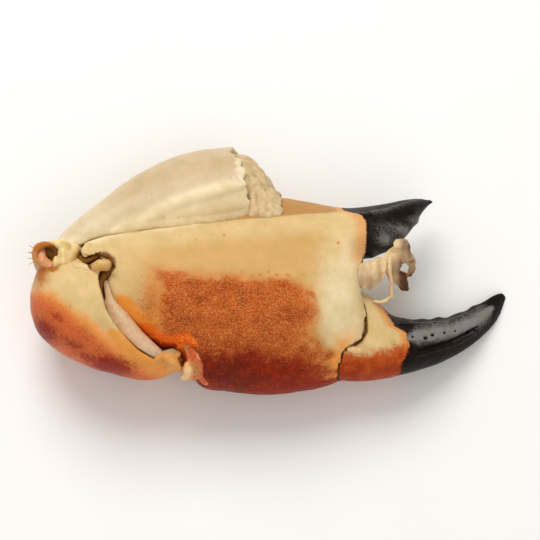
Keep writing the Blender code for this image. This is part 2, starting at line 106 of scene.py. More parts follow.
class CrabClawSizes(bpy.types.PropertyGroup):
    palm_mesh: length("Palm mesh", "Spacing of the points on the palm", 0.5)
    finger_mesh: length("Finger mesh", "Spacing of the points on the moving finger", 0.36)
    wrist_mesh: length("Wrist mesh", "Spacing of the points on the wrist segment", 0.42)
    arm_mesh: length("Arm mesh", "Spacing of the points on the upper arm", 0.46)
    skin_mesh: length("Skin mesh", "Spacing of the points on the skins and the meat", 0.35)
    granule: length("Granule", "Width of one granule of the brown shell", 0.6)
    mottle: length("Mottle", "Width of the soft spots in the shell's colour", 6.0)
    pore: length("Pore", "Distance between the small pores of the pale shell", 5.5)


class CrabClawColours(bpy.types.PropertyGroup):
    cream: colour("Cream", "Pale shell", "#DEBF87")
    # Pale is also the painted highlight along the palm's crest and the arm's ridge, and painted light on faces
    # turned from the lamps.
    pale_and_highlight: colour("Pale", "Lightest shell, on the ridges", "#EEDBB0")
    tan: colour("Tan", "Pale shell on the broad faces", "#D3A562")
    # Slope is painted shade: the palm's far slope behind the crest is darkened as if it lay in shadow.
    slope: colour("Slope", "Pale shell behind the palm's crest", "#BC8A4C")
    orange: colour("Orange", "Shell between pale and brown", "#FCA242")
    flame: colour("Flame", "Bright orange shell at the joints", "#FF711A")
    brown: colour("Brown", "Granular shell of the palm", "#CE6828")
    red: colour("Red", "Smooth red-brown shell of the wrist", "#D86A36")
    maroon: colour("Maroon", "Darkest shell, at the lower margins", "#8E1800")
    granule_light: colour("Granule light", "Tops of the granules", "#DC9656")
    black: colour("Black", "Hard shell of the finger tips", "#1C110C")
    # The grey is a painted sheen: the highlights on the fingers' ridges, teeth and band.
    painted_sheen: colour("Grey", "Rubbed shell on the ridges of the fingers", "#86807D")
    # Gap is painted shade: dark brown between parts, in crevices, in the folds of the torn skin and in the valleys
    # of the meat.
    gap: colour("Gap", "Moist brown bottom of the joints", "#5A2E0C")
    # This brown is painted shade: in the groove round the ear's knob, round the elbow hole, and on the upper
    # knob's left side.
    groove_shade: colour("Groove", "Brown shell round the joint knobs", "#6E3F10")
    skin: colour("Skin", "Stretched skin of the wrist joint", "#D2AC84")
    flesh: colour("Flesh", "Pink flesh in the elbow", "#D28E56")
    meat: colour("Meat", "Cooked meat", "#C6A878")
    torn: colour("Torn skin", "Torn skin between the fingers", "#E4C08C")
    floor: colour("Floor", "The plain floor", "#F7F6F4")


def settings():
    scene = bpy.context.scene
    return scene.crab_claw_sizes, scene.crab_claw_colours


def smooth(low, high, value):
    """0 below low, 1 above high, and an even curve between them."""
    t = np.clip((value - low) / (high - low), 0.0, 1.0)
    return t * t * (3 - 2 * t)


def lattice(cells, seed):
    """A fixed number from 0 to 1 for each whole-numbered cell."""
    n = cells[..., 0] * 73856093 ^ cells[..., 1] * 19349663 ^ cells[..., 2] * 83492791 ^ seed * 2654435
    n = (n ^ (n >> 13)) * 1274126177 & 0x7FFFFFFF
    n = n ^ (n >> 16)
    return (n & 0xFFFFF) / 0xFFFFF


def drift(places, size, seed):
    """Soft noise from -1 to 1, with bumps about size wide."""
    scaled = places / size
    base = np.floor(scaled).astype(np.int64)
    part = scaled - base
    part = part * part * (3 - 2 * part)
    total = 0.0
    for corner in np.ndindex(2, 2, 2):
        weight = np.prod(np.where(corner, part, 1 - part), axis=1)
        total = total + weight * lattice(base + np.array(corner), seed)
    return 2 * total - 1


def own_axes(places):
    """Places in metres as (x, y, z) in the claw's own frame, in mm."""
    turned = np.array(CLAW_SPACE.inverted())
    return (places @ turned[:3, :3].T + turned[:3, 3]) / MM


def on_face(places):
    """Places in metres as (along, up) on the shown face, in mm."""
    return (places - np.array(CLAW_ORIGIN)) @ FACE_AXES[:2].T / MM


def seen(piece):
    """A piece's points on the face and in the claw's own frame, and 1 where they look out of the face."""
    places = points(piece)
    return on_face(places), own_axes(places), smooth(-0.2, 0.3, normals(piece) @ FACE_AXES[2])


def path_distance(flat, path):
    """How far each (along, up) place is from a line of such places, and how far along the line, 0 to 1."""
    nearest = np.full(len(flat), np.inf)
    share = np.zeros(len(flat))
    corners = np.array(path, float)
    steps = np.linalg.norm(np.diff(corners, axis=0), axis=1)
    before = np.concatenate([[0.0], np.cumsum(steps)])
    for i, step in enumerate(steps):
        way = corners[i + 1] - corners[i]
        t = np.clip((flat - corners[i]) @ way / step**2, 0.0, 1.0)
        gap = np.linalg.norm(flat - corners[i] - t[:, None] * way, axis=1)
        closer = gap < nearest
        nearest = np.where(closer, gap, nearest)
        share = np.where(closer, (before[i] + t * step) / before[-1], share)
    return nearest, share


def stroke(flat, path, width, taper=True):
    """1 on a line of (along, up) places, falling to 0 at width beside it, and thinner at its ends."""
    gap, share = path_distance(flat, path)
    if taper:
        width = width * np.clip(np.minimum(share, 1 - share) * 6 + 0.35, 0.0, 1.0)
    return np.exp(-(gap / (0.5 * width)) ** 2)


def relief(flat, rows):
    """Height in mm of some ridges and grooves. A row is (line, height, width)."""
    return sum(height * stroke(flat, line, width) for line, height, width in rows)


def spot(flat, centre, radii, turn=0.0):
    """1 at the centre of an oval on the shown face, falling to about 0.4 at its edge."""
    c = math.cos(math.radians(turn))
    s = math.sin(math.radians(turn))
    offset = flat - np.array(centre, float)
    one = (offset[:, 0] * c + offset[:, 1] * s) / radii[0]
    other = (-offset[:, 0] * s + offset[:, 1] * c) / radii[1]
    return np.exp(-(one**2 + other**2))


def spots(flat, centres, radii):
    return sum(spot(flat, centre, radii) for centre in centres)


def above(flat, line):
    """How far each (along, up) place is above a line of (along, up) places."""
    return flat[:, 1] - np.interp(flat[:, 0], *zip(*line))


def right_of(flat, line):
    """How far each (along, up) place is to the right of a line of (up, along) places."""
    return flat[:, 0] - np.interp(flat[:, 1], *zip(*line))


def only(piece):
    """Selects one piece and nothing else."""
    if bpy.context.mode != "OBJECT":
        bpy.ops.object.mode_set(mode="OBJECT")
    bpy.ops.object.select_all(action="DESELECT")
    piece.select_set(True)
    bpy.context.view_layer.objects.active = piece


def named(piece, name):
    piece.name = name
    piece.data.name = name
    return piece


def apply(piece, kind, **properties):
    """Adds a modifier with its settings and applies it."""
    only(piece)
    step = piece.modifiers.new(kind.title(), kind)
    for name, value in properties.items():
        setattr(step, name, value)
    bpy.ops.object.modifier_apply(modifier=step.name)


def copy_of(node_name, name, spacing, hollows=()):
    """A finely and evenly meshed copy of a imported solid, with hollows cut by (along, up, out, radius) balls."""
    piece = named(bpy.data.objects.new(name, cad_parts[node_name].data.copy()), name)
    piece.data.materials.clear()
    bpy.context.scene.collection.objects.link(piece)
    only(piece)
    bpy.ops.object.mode_set(mode="EDIT")
    bpy.ops.mesh.select_all(action="SELECT")
    bpy.ops.mesh.remove_doubles(threshold=0.01 * MM)
    bpy.ops.object.mode_set(mode="OBJECT")
    for *place, radius in hollows:
        cutter = add_ball(place, radius, 32)
        apply(piece, "BOOLEAN", operation="DIFFERENCE", object=cutter, solver="EXACT")
        bpy.data.objects.remove(cutter)
    apply(piece, "REMESH", mode="VOXEL", voxel_size=spacing)
    return piece


def points(piece):
    values = np.empty(len(piece.data.vertices) * 3)
    piece.data.vertices.foreach_get("co", values)
    return values.reshape(-1, 3)


def normals(piece):
    values = np.empty(len(piece.data.vertices) * 3, np.float32)
    piece.data.vertex_normals.foreach_get("vector", values)
    return values.reshape(-1, 3).astype(float)


def move_to(piece, places):
    piece.data.vertices.foreach_set("co", places.ravel())
    piece.data.update()


def slide(piece, millimetres, ways):
    """Moves each point by its own number of mm, along one way or a way of its own."""
    move_to(piece, points(piece) + ways * (millimetres * MM)[:, None])


def push(piece, millimetres):
    """Moves each point outwards along its normal."""
    slide(piece, millimetres, normals(piece))


def evened(piece, values, turns, pull=0.5):
    """Values on the points, each moved towards the mean of its neighbours, turn after turn."""
    mesh = piece.data
    pairs = np.empty(len(mesh.edges) * 2, np.int64)
    mesh.edges.foreach_get("vertices", pairs)
    one, other = pairs.reshape(-1, 2).T
    count = len(mesh.vertices)
    links = np.maximum(np.bincount(pairs, minlength=count), 1)
    values = np.array(values, float).reshape(count, -1)
    pull = np.broadcast_to(pull, count)
    for _ in range(turns):
        for i in range(values.shape[1]):
            column = values[:, i]
            total = np.bincount(one, column[other], count) + np.bincount(other, column[one], count)
            values[:, i] = column + pull * (total / links - column)
    return values


def even_facets(piece, spacing, spread):
    """Rounds off the flat facets of a solid over spread mm, but leaves its real edges and tips."""
    move_to(piece, evened(piece, points(piece), 5))
    look = max(2, round((0.8 * MM / spacing) ** 2 * 4))
    mean = evened(piece, normals(piece), look)
    edge = smooth(0.965, 0.90, np.linalg.norm(mean, axis=1))
    keep = evened(piece, edge, 3)[:, 0]
    turns = round((spread * MM / spacing) ** 2 * 4)
    move_to(piece, evened(piece, points(piece), turns, 0.5 * (1 - keep)))


def solid_tree(*nodes):
    """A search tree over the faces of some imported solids."""
    if nodes not in SOLID_TREES:
        corners = []
        faces = []
        for name in nodes:
            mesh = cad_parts[name].data
            faces += [[len(corners) + v for v in face.vertices] for face in mesh.polygons]
            corners += [vert.co.copy() for vert in mesh.vertices]
        SOLID_TREES[nodes] = BVHTree.FromPolygons(corners, faces)
    return SOLID_TREES[nodes]


def nearest_solid(piece, *nodes):
    """For each point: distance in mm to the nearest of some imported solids, the way there, and 1 facing it."""
    places = points(piece)
    tree = solid_tree(*nodes)
    found = [tree.find_nearest(Vector(place)) for place in places]
    gaps = np.array([hit[3] for hit in found])
    ways = (np.array([hit[0] for hit in found]) - places) / np.maximum(gaps, 1e-9)[:, None]
    return gaps / MM, ways, np.sum(normals(piece) * ways, axis=1)


def snug(piece, *nodes, within, leave):
    """Moves the walls that look at a close neighbour up to it, so that they seem to touch."""
    gaps, ways, facing = nearest_solid(piece, *nodes)
    slide(piece, smooth(within + 0.4, within, gaps) * smooth(0.2, 0.7, facing) * (gaps - leave), ways)


def joint_gap_shade(piece, *nodes, reach=1.6):
    """1 on the walls that look at a close neighbour, where painted shade darkens the joint."""
    gaps, _, facing = nearest_solid(piece, *nodes)
    return smooth(reach, 0.4 * reach, gaps) * smooth(0.35, 0.8, facing)


def keep_clear(piece, node_name, leave=0.1):
    """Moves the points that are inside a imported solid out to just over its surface."""
    tree = solid_tree(node_name)
    places = points(piece)
    for i, place in enumerate(places):
        wall, way, _, distance = tree.find_nearest(Vector(place))
        over = (Vector(place) - wall).dot(way)
        if over < leave * MM and distance < 4 * MM:
            places[i] = Vector(place) + way * (leave * MM - over)
    move_to(piece, places)


def add_ball(place, radius, segments):
    """A ball with its place given as (along, up, out), all in mm."""
    bpy.ops.object.select_all(action="DESELECT")
    bpy.ops.mesh.primitive_uv_sphere_add(segments=segments, ring_count=segments // 2, radius=radius * MM,
                                         location=CLAW_ORIGIN + Vector(place @ FACE_AXES) * MM)
    bpy.ops.object.transform_apply(location=True, rotation=True, scale=True)
    return bpy.context.object


def lump(name, strings, spacing, evening):
    """A soft lump, grown over strings of balls. A ball is (along, up, out, radius) in mm."""
    balls = []
    for string in strings:
        rows = np.array(string, float)
        for one, other in zip(rows, rows[1:]):
            steps = max(1, math.ceil(np.linalg.norm(other[:3] - one[:3]) / (0.45 * min(one[3], other[3]))))
            balls += [one + (other - one) * i / steps for i in range(steps + 1)]
    made = [add_ball(ball[:3], ball[3], 12) for ball in balls]
    only(made[0])
    for ball in made:
        ball.select_set(True)
    bpy.ops.object.join()
    piece = named(bpy.context.object, name)
    apply(piece, "REMESH", mode="VOXEL", voxel_size=spacing * MM)
    move_to(piece, evened(piece, points(piece), evening))
    return piece


def fold_noise(along, up):
    """Noise in upright folds, about as wide as those of the torn skin."""
    return drift(np.stack([along, 0.22 * up, 0 * up], axis=1), 1.7, 32)


def torn_sheet(name, rows, thick):
    """A torn sheet of skin. A row is (up, left, right, height at left, height at right) in mm."""
    bpy.ops.object.select_all(action="DESELECT")
    bpy.ops.mesh.primitive_grid_add(x_subdivisions=30, y_subdivisions=60, size=1.0)
    piece = named(bpy.context.object, name)
    grid = points(piece)
    across = grid[:, 0] + 0.5
    down = (0.5 - grid[:, 1]) * (len(rows) - 1)
    up, left, right, out_left, out_right = (np.interp(down, range(len(rows)), column)
                                            for column in np.array(rows, float).T)
    along = left + (right - left) * across
    edge = smooth(0.3, 0.5, abs(across - 0.5))
    fray = edge * np.sign(across - 0.5) * 0.5 * drift(np.stack([along, up, 0 * up], axis=1), 1.1, 31)
    out = out_left + (out_right - out_left) * across + 1.1 * (1.2 * fold_noise(along, up) + 0.5 * edge)
    move_to(piece, np.array(CLAW_ORIGIN) + np.stack([along + fray, up, out], axis=1) @ FACE_AXES * MM)
    apply(piece, "SOLIDIFY", thickness=thick * MM, offset=0.0)
    apply(piece, "REMESH", mode="VOXEL", voxel_size=0.25 * MM)
    move_to(piece, evened(piece, points(piece), 3))
    return piece


def store(piece, name, values):
    """Keeps a number on each point, for the material to read."""
    layer = piece.data.attributes.new(name, "FLOAT", "POINT")
    layer.data.foreach_set("value", np.clip(values, 0.0, 1.0).astype(np.float32))


def finish_piece(piece, slot, material, *replaced):
    """Gives the piece its material and smooth faces, and lets it ride on the claw, inside its box."""
    move_to(piece, np.clip(points(piece), *CAD_BOX))
    piece.data.materials.clear()
    piece.data.materials.append(material)
    piece.data.shade_smooth()
    if replaced:
        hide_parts(*replaced)
    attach(piece, BODY)


def feed(tree, made, inputs):
    """Gives the input sockets of a node, by name or number, their values or links."""
    for key, value in inputs.items():
        if isinstance(value, bpy.types.NodeSocket):
            tree.links.new(value, made.inputs[key])
        else:
            made.inputs[key].default_value = value


def node(tree, kind, inputs=None, output=0, **properties):
    """Adds a node with its settings and inputs, and gives back one of its outputs."""
    made = tree.nodes.new("ShaderNode" + kind)
    for name, value in properties.items():
        setattr(made, name, value)
    feed(tree, made, inputs or {})
    return made.outputs[output]


def rgba(value):
    return (*value, 1.0)


def start_material(name, inputs):
    """A new material with its shader's own settings, and its tree, shader and place on the object."""
    material = bpy.data.materials.new(name)
    material.use_nodes = True
    tree = material.node_tree
    shader = tree.nodes["Principled BSDF"]
    feed(tree, shader, inputs)
    return material, tree, shader, node(tree, "TexCoord", output="Object")


def coated(tree, place, below, coats):
    """Lays colours over each other, each where its stored number passes one half, with uneven edges.

    A coat is (stored name, colour, width of its soft edge, strength of its noise, noises to a mottle).
    """
    mottle = settings()[0].mottle
    for name, tone, edge, wobble, share in coats:
        stored = node(tree, "Attribute", output="Fac", attribute_name=name)
        noise = node(tree, "TexNoise", {"Vector": place, "Scale": share / mottle, "Detail": 4.0,
                                        "Roughness": 0.6})
        noise = node(tree, "MapRange", {0: noise, 1: 0.2, 2: 0.8, 3: -wobble, 4: wobble}, clamp=False)
        near = node(tree, "MapRange", {0: stored, 1: 0.0, 2: 0.3})
        noise = node(tree, "Math", {0: noise, 1: near}, operation="MULTIPLY")
        shown = node(tree, "Math", {0: stored, 1: noise}, operation="ADD")
        shown = node(tree, "MapRange", {0: shown, 1: 0.5 - edge, 2: 0.5 + edge},
                     interpolation_type="SMOOTHSTEP")
        below = node(tree, "Mix", {0: shown, 6: below, 7: rgba(tone)}, 2, data_type="RGBA")
    return below


def shell_material(name, base, coats, granules=0.0, polish=0.36, shine=0.3):
    """Cooked crab shell: hard, thin and waxy, with a soft shine where it is smooth and a dull one on granules."""
    sizes, tones = settings()
    # Chitin has an IOR of about 1.55. Its waxy, finely pitted skin shines less than polished chitin.
    # Light goes about a millimetre into the pale shell.
    material, tree, shader, place = start_material(name, {
        "IOR": 1.55, "Specular IOR Level": shine, "Subsurface Weight": 0.1,
        "Subsurface Radius": (1.0, 0.45, 0.2), "Subsurface Scale": 1.0 * MM})
    mottle = node(tree, "TexNoise", {"Vector": place, "Scale": 1 / sizes.mottle, "Detail": 5.0,
                                     "Roughness": 0.6})
    shade = node(tree, "MapRange", {0: mottle, 1: 0.3, 2: 0.7, 3: 0.90, 4: 1.07})
    warmth = node(tree, "MapRange", {0: mottle, 1: 0.3, 2: 0.7, 3: 0.80, 4: 1.12})
    tint = node(tree, "CombineColor", {0: shade, 1: shade, 2: warmth})
    tone = coated(tree, place, rgba(base), coats)
    tone = node(tree, "Mix", {0: 1.0, 6: tone, 7: tint}, 2, data_type="RGBA", blend_type="MULTIPLY")
    # Small brown pores and freckles, a few millimetres apart. They darken what is under them.
    pore = node(tree, "TexVoronoi", {"Vector": place, "Scale": 1 / sizes.pore, "Randomness": 1.0})
    pore = node(tree, "MapRange", {0: pore, 1: 0.04, 2: 0.10, 3: 0.3, 4: 0.0})
    tone = node(tree, "Mix", {0: pore, 6: tone, 7: rgba(linear("#9A6A38"))}, 2, data_type="RGBA",
                blend_type="MULTIPLY")
    fine = node(tree, "TexNoise", {"Vector": place, "Scale": 1 / (0.9 * MM), "Detail": 3.0,
                                   "Roughness": 0.65})
    bump = node(tree, "Bump", {"Height": fine, "Strength": 0.2, "Distance": 0.1 * MM})
    if granules:
        # The granules are about 0.5 mm wide on the real shell and are drawn a little coarser, so they show.
        # Their pale tops come in loose flecks.
        grain = node(tree, "Attribute", output="Fac", attribute_name="grain")
        warp = node(tree, "TexNoise", {"Vector": place, "Scale": 1 / (2.0 * MM), "Detail": 2.0}, "Color")
        warp = node(tree, "VectorMath", {0: warp, 1: (1.0 * MM,) * 3}, operation="MULTIPLY")
        moved = node(tree, "VectorMath", {0: place, 1: warp}, operation="ADD")
        cell = node(tree, "TexVoronoi", {"Vector": moved, "Scale": 1 / sizes.granule, "Randomness": 1.0})
        top = node(tree, "MapRange", {0: cell, 1: 0.15, 2: 0.6, 3: 1.0, 4: 0.0},
                   interpolation_type="SMOOTHSTEP")
        height = node(tree, "Math", {0: top, 1: grain}, operation="MULTIPLY")
        fleck = node(tree, "TexNoise", {"Vector": place, "Scale": 1 / (1.8 * MM), "Detail": 4.0,
                                        "Roughness": 0.75})
        fleck = node(tree, "MapRange", {0: fleck, 1: 0.4, 2: 0.62, 3: 0.1 * granules, 4: granules})
        light = node(tree, "Math", {0: height, 1: fleck}, operation="MULTIPLY")
        deep = node(tree, "Attribute", output="Fac", attribute_name="deep")
        dim = node(tree, "MapRange", {0: deep, 3: 1.0, 4: 0.3})
        light = node(tree, "Math", {0: light, 1: dim}, operation="MULTIPLY")
        tone = node(tree, "Mix", {0: light, 6: tone, 7: rgba(tones.granule_light)}, 2, data_type="RGBA")
        rift = node(tree, "MapRange", {0: cell, 1: 0.4, 2: 0.75, 3: 0.0, 4: 0.5},
                    interpolation_type="SMOOTHSTEP")
        rift = node(tree, "Math", {0: rift, 1: grain}, operation="MULTIPLY")
        tone = node(tree, "Mix", {0: rift, 6: tone, 7: rgba(linear("#8A2E0A"))}, 2, data_type="RGBA")
        bump = node(tree, "Bump", {"Height": height, "Strength": 0.6, "Distance": 0.3 * MM, "Normal": bump})
    rough = node(tree, "MapRange", {0: fine, 1: 0.3, 2: 0.7, 3: polish - 0.06, 4: polish + 0.1})
    feed(tree, shader, {"Base Color": tone, "Roughness": rough, "Normal": bump})
    return material


def soft_material(name, base, other, gloss, fibre=None, depth=0.3):
    """Moist skin or meat: soft and a little see-through, so light spreads a few millimetres in it."""
    # Wet protein has an IOR of about 1.38.
    material, tree, shader, place = start_material(name, {
        "IOR": 1.38, "Subsurface Weight": 0.35, "Subsurface Radius": (1.0, 0.5, 0.3),
        "Subsurface Scale": 2.0 * MM})
    if fibre:
        # The fibres run across the claw, so the pattern is drawn out that way.
        place = node(tree, "Mapping", {"Vector": place, "Rotation": tuple(CLAW_TURN), "Scale": fibre},
                     vector_type="TEXTURE")
    streak = node(tree, "TexNoise", {"Vector": place, "Scale": 1 / (1.6 * MM), "Detail": 5.0,
                                     "Roughness": 0.6})
    shown = node(tree, "MapRange", {0: streak, 1: 0.36, 2: 0.66})
    tone = node(tree, "Mix", {0: shown, 6: rgba(base), 7: rgba(other)}, 2, data_type="RGBA")
    # Painted shade, where the stored gap number says: in crevices, folds and valleys.
    dark = node(tree, "Attribute", output="Fac", attribute_name="gap")
    tone = node(tree, "Mix", {0: dark, 6: tone, 7: rgba(settings()[1].gap)}, 2, data_type="RGBA")
    bump = node(tree, "Bump", {"Height": streak, "Strength": 0.6, "Distance": depth * MM})
    rough = node(tree, "MapRange", {0: streak, 1: 0.3, 2: 0.7, 3: gloss + 0.1, 4: gloss - 0.05})
    feed(tree, shader, {"Base Color": tone, "Roughness": rough, "Normal": bump})
    return material


def painted(piece, name, base, coats, **finish):
    """Stores the numbers of each coat, its last value, and makes the shell material that reads them."""
    for coat in coats:
        store(piece, coat[0], coat[-1])
    return shell_material(name, base, [coat[:-1] for coat in coats], **finish)


class CRABCLAW_OT_palm(bpy.types.Operator):
    """Shapes and colours the palm with its fixed finger"""

    bl_idname = "crab_claw.palm"
    bl_label = "Palm and fixed finger"

    def execute(self, context):
        sizes, tones = settings()
        palm = copy_of("palm", "palm_shell", sizes.palm_mesh)
        even_facets(palm, sizes.palm_mesh, 2.4)
        flat, own, shown = seen(palm)
        # The palm's lip over the wrist's skin, and its lower corner, reach further out than its solid.
        near_lip, share = path_distance(flat, PALM_LIP)
        reach = 2.6 * smooth(7.0, 1.5, near_lip) * smooth(0.0, 0.2, share) * smooth(1.0, 0.85, share)
        slide(palm, reach * smooth(0.0, -6.0, own[:, 1]), (-0.76, -0.65, 0.0) @ FACE_AXES)
        corner = spot(flat, (-19.0, -22.5), (6.0, 6.0)) * smooth(12.0, 4.0, own[:, 1])
        slide(palm, 3.4 * corner, (-0.5, -0.85, 0.0) @ FACE_AXES)
        snug(palm, "moving_finger", within=1.6, leave=0.1)
        # Its margin bulges over the base of the moving finger.
        bulge = spot(flat, (33.0, -8.0), (4.0, 4.4)) * smooth(6.0, 0.0, own[:, 1])
        slide(palm, bulge, (2.0, -1.3, 0.35) @ FACE_AXES)
        flat = on_face(points(palm))
        along, up = flat.T

        # The brown field ends with soft, speckled edges, and only the outer face has it.
        outer = 1 - smooth(4.0, 12.0, own[:, 1])
        top, left, right = above(flat, BROWN_TOP), right_of(flat, BROWN_LEFT), right_of(flat, BROWN_RIGHT)
        brown = np.minimum(smooth(2.4, -3.4, top), smooth(-6.5, 6.0, left + 2.5 * drift(own, 7.0, 45)))
        brown = np.minimum(brown, smooth(7.0, -9.0, right))
        blur = 1 - abs(2 * brown - 1)
        brown = (brown + blur * (0.7 * drift(own, 5.0, 41) + 0.6 * drift(own, 2.2, 42))) * outer
        brown = np.maximum(brown, 0.36 * spot(flat, (-37.0, 2.0), (5.0, 9.0)) * outer)
        halo = np.minimum(smooth(4.5, -1.0, top), smooth(-9.0, -1.0, left))
        halo = np.minimum(halo, smooth(8.0, 0.0, right)) * outer
        deep = smooth(4.0, -6.0, above(flat, DEEP_TOP) + 2.0 * drift(own, 6.0, 43)
                      + 1.5 * drift(own, 2.4, 48))
        grain = brown * (1 - 0.4 * deep)
        shape = relief(flat, PALM_RELIEF) + 1.3 * spots(flat, FIXED_TEETH, (2.0, 1.7))
        wave = 0.22 * drift(own, 9.0, 1) + 0.1 * drift(own, 3.5, 2) + 0.09 * grain * drift(own, 1.5, 17)
        push(palm, shown * (shape - 2.2 * stroke(flat, EAR_GROOVE, 1.9, False)) + wave)

        tip = -right_of(flat, FIXED_BLACK)
        finger = smooth(20.0, 30.0, along)
        black = smooth(1.0, -1.0, tip) * finger * smooth(12.5, 14.5, up)
        # Painted sheen on the fixed finger: along its ridge, over its middle and on its teeth.
        sheen = (0.3 * stroke(flat, FIXED_RIDGE, 1.6) + 0.36 * spot(flat, (43.0, 27.0), (6.0, 5.0))
                 + 0.55 * spots(flat, FIXED_TEETH[2:], (2.3, 1.6)))
        store(palm, "grain", grain)
        material = painted(palm, "crab_shell_palm", tones.cream, (
            ("tan", tones.tan, 0.5, 0.12, 1, 0.8 * smooth(1.0, 9.0, -above(flat, PALM_CREST))
             * smooth(30.0, 16.0, along) * smooth(-56.0, -30.0, along)),
            # Painted shade on the far slope behind the crest.
            ("slope", tones.slope, 0.5, 0.1, 1, smooth(-0.2, 1.2, above(flat, PALM_CREST))),
            # Painted highlight along the crest, and painted light on the palm's right end, which faces down and
            # away from the lamps.
            ("pale_and_highlight", tones.pale_and_highlight, 0.6, 0.15, 1, np.maximum(
                stroke(flat, CREST_HIGHLIGHT, 3.0), 0.95 * spot(flat, (26.5, 4.0), (8.0, 18.0)))),
            ("fringe", linear("#DFA468"), 0.4, 0.12, 3,
             0.8 * smooth(7.0, 0.5, tip) * finger * smooth(14.0, 19.0, up)),
            ("halo", linear("#D38C48"), 0.5, 0.25, 3, 0.75 * halo),
            ("orange", tones.orange, 0.45, 0.35, 4, np.maximum.reduce([
                1.1 * stroke(flat, LIP_ORANGE, 6.0), 0.5 * spot(flat, (-36.0, -4.0), (6.0, 7.5)),
                0.6 * stroke(flat, RIM_ORANGE, 10.0, False)]) * outer),
            ("brown", tones.brown, 0.5, 0.6, 7, np.maximum(
                brown, 0.9 * spots(flat, PALM_DOTS, (0.55, 0.5)))),
            ("umber", linear("#9E4416"), 0.6, 0.4, 6, brown * (0.3 + 0.55 * drift(own, 3.0, 46))),
            ("deep", tones.maroon, 0.6, 0.5, 4, deep * outer),
            ("shadow", linear("#5E1002"), 0.5, 0.4, 6, deep * (
                0.2 + 0.5 * spot(flat, (-9.0, -20.5), (10.0, 6.0)) + 0.35 * drift(own, 2.6, 49))),
            ("bright", tones.flame, 0.5, 0.5, 4, 1.15 * stroke(flat, PALM_FLAME, 6.0)),
            ("red", linear("#A82C0A"), 0.45, 0.4, 5,
             1.1 * stroke(flat, PALM_RED, 3.2) + 0.9 * stroke(flat, LOBE_HOLLOW, 2.6)),
            ("black", tones.black, 0.2, 0.3, 5, black),
            # Painted sheen, in grey over the black.
            ("painted_sheen", tones.painted_sheen, 0.45, 0.3, 6, black * sheen),
            # Painted shade in the groove round the ear's knob.
            ("groove_shade", tones.groove_shade, 0.4, 0.1, 4, 1.1 * stroke(flat, EAR_GROOVE, 2.6, False)),
            # Painted shade where the palm meets the moving finger and the wrist.
            ("gap", tones.gap, 0.4, 0.1, 4, np.maximum(
                joint_gap_shade(palm, "moving_finger", reach=1.0), joint_gap_shade(palm, "wrist_piece", reach=1.3))),
        ), granules=0.9, polish=0.38, shine=0.07)
        finish_piece(palm, "palm", material, "palm")
        return {"FINISHED"}


class CRABCLAW_OT_moving_finger(bpy.types.Operator):
    """Shapes and colours the moving finger"""

    bl_idname = "crab_claw.moving_finger"
    bl_label = "Moving finger"

    def execute(self, context):
        sizes, tones = settings()
        finger = copy_of("moving_finger", "moving_finger_shell", sizes.finger_mesh)
        even_facets(finger, sizes.finger_mesh, 1.2)
        snug(finger, "palm", within=1.2, leave=0.1)
        flat, own, shown = seen(finger)
        shape = relief(flat, FINGER_RELIEF) + 0.8 * spots(flat, MOVING_TEETH, (1.5, 1.1))
        # Its base sinks under the palm's margin.
        shape -= 0.6 * spot(flat, (34.6, -8.8), (3.6, 3.6))
        pits = sum(spot(flat, (along, up), (radius, 0.8 * radius)) for along, up, radius in MOVING_PITS)
        wave = 0.12 * drift(own, 6.0, 3) + 0.08 * drift(own, 2.0, 4)
        push(finger, shown * (shape - 0.9 * np.clip(pits, 0, 1)) + wave * smooth(28.0, 44.0, flat[:, 0]))

        border = right_of(flat, MOVING_BLACK)
        black = smooth(-1.2, 1.2, border)
        low = above(flat, MOVING_ORANGE) + 1.2 * drift(own, 3.4, 51)
        material = painted(finger, "crab_shell_moving_finger", tones.cream, (
            ("fringe", linear("#D9924C"), 0.5, 0.2, 4, smooth(-4.5, 0.0, border)),
            ("orange", linear("#C2541C"), 0.5, 0.4, 5, smooth(3.6, -2.6, low)),
            ("rust", linear("#9A3410"), 0.5, 0.4, 6, 0.75 * smooth(0.5, -7.5, low)
             + 0.35 * drift(own, 2.4, 52)),
            ("black", tones.black, 0.25, 0.42, 6, black),
            # Painted sheen along the band of the moving finger.
            ("painted_sheen", tones.painted_sheen, 0.5, 0.3, 5, black * stroke(flat, MOVING_SHEEN_BAND, 5.4)),
            ("pit", linear("#120D0C"), 0.3, 0.1, 6, pits + 0.9 * stroke(flat, MOVING_GROOVE, 1.1)),
            # Painted shade where the finger meets the palm, and a painted shadow line under the palm's lip.
            ("gap", tones.gap, 0.4, 0.1, 4, np.maximum(
                joint_gap_shade(finger, "palm", reach=1.0), 0.9 * stroke(flat, FINGER_SEAM_SHADOW, 1.7, False) * shown)),
        ), polish=0.36, shine=0.06)
        finish_piece(finger, "moving_finger", material, "moving_finger")
        return {"FINISHED"}


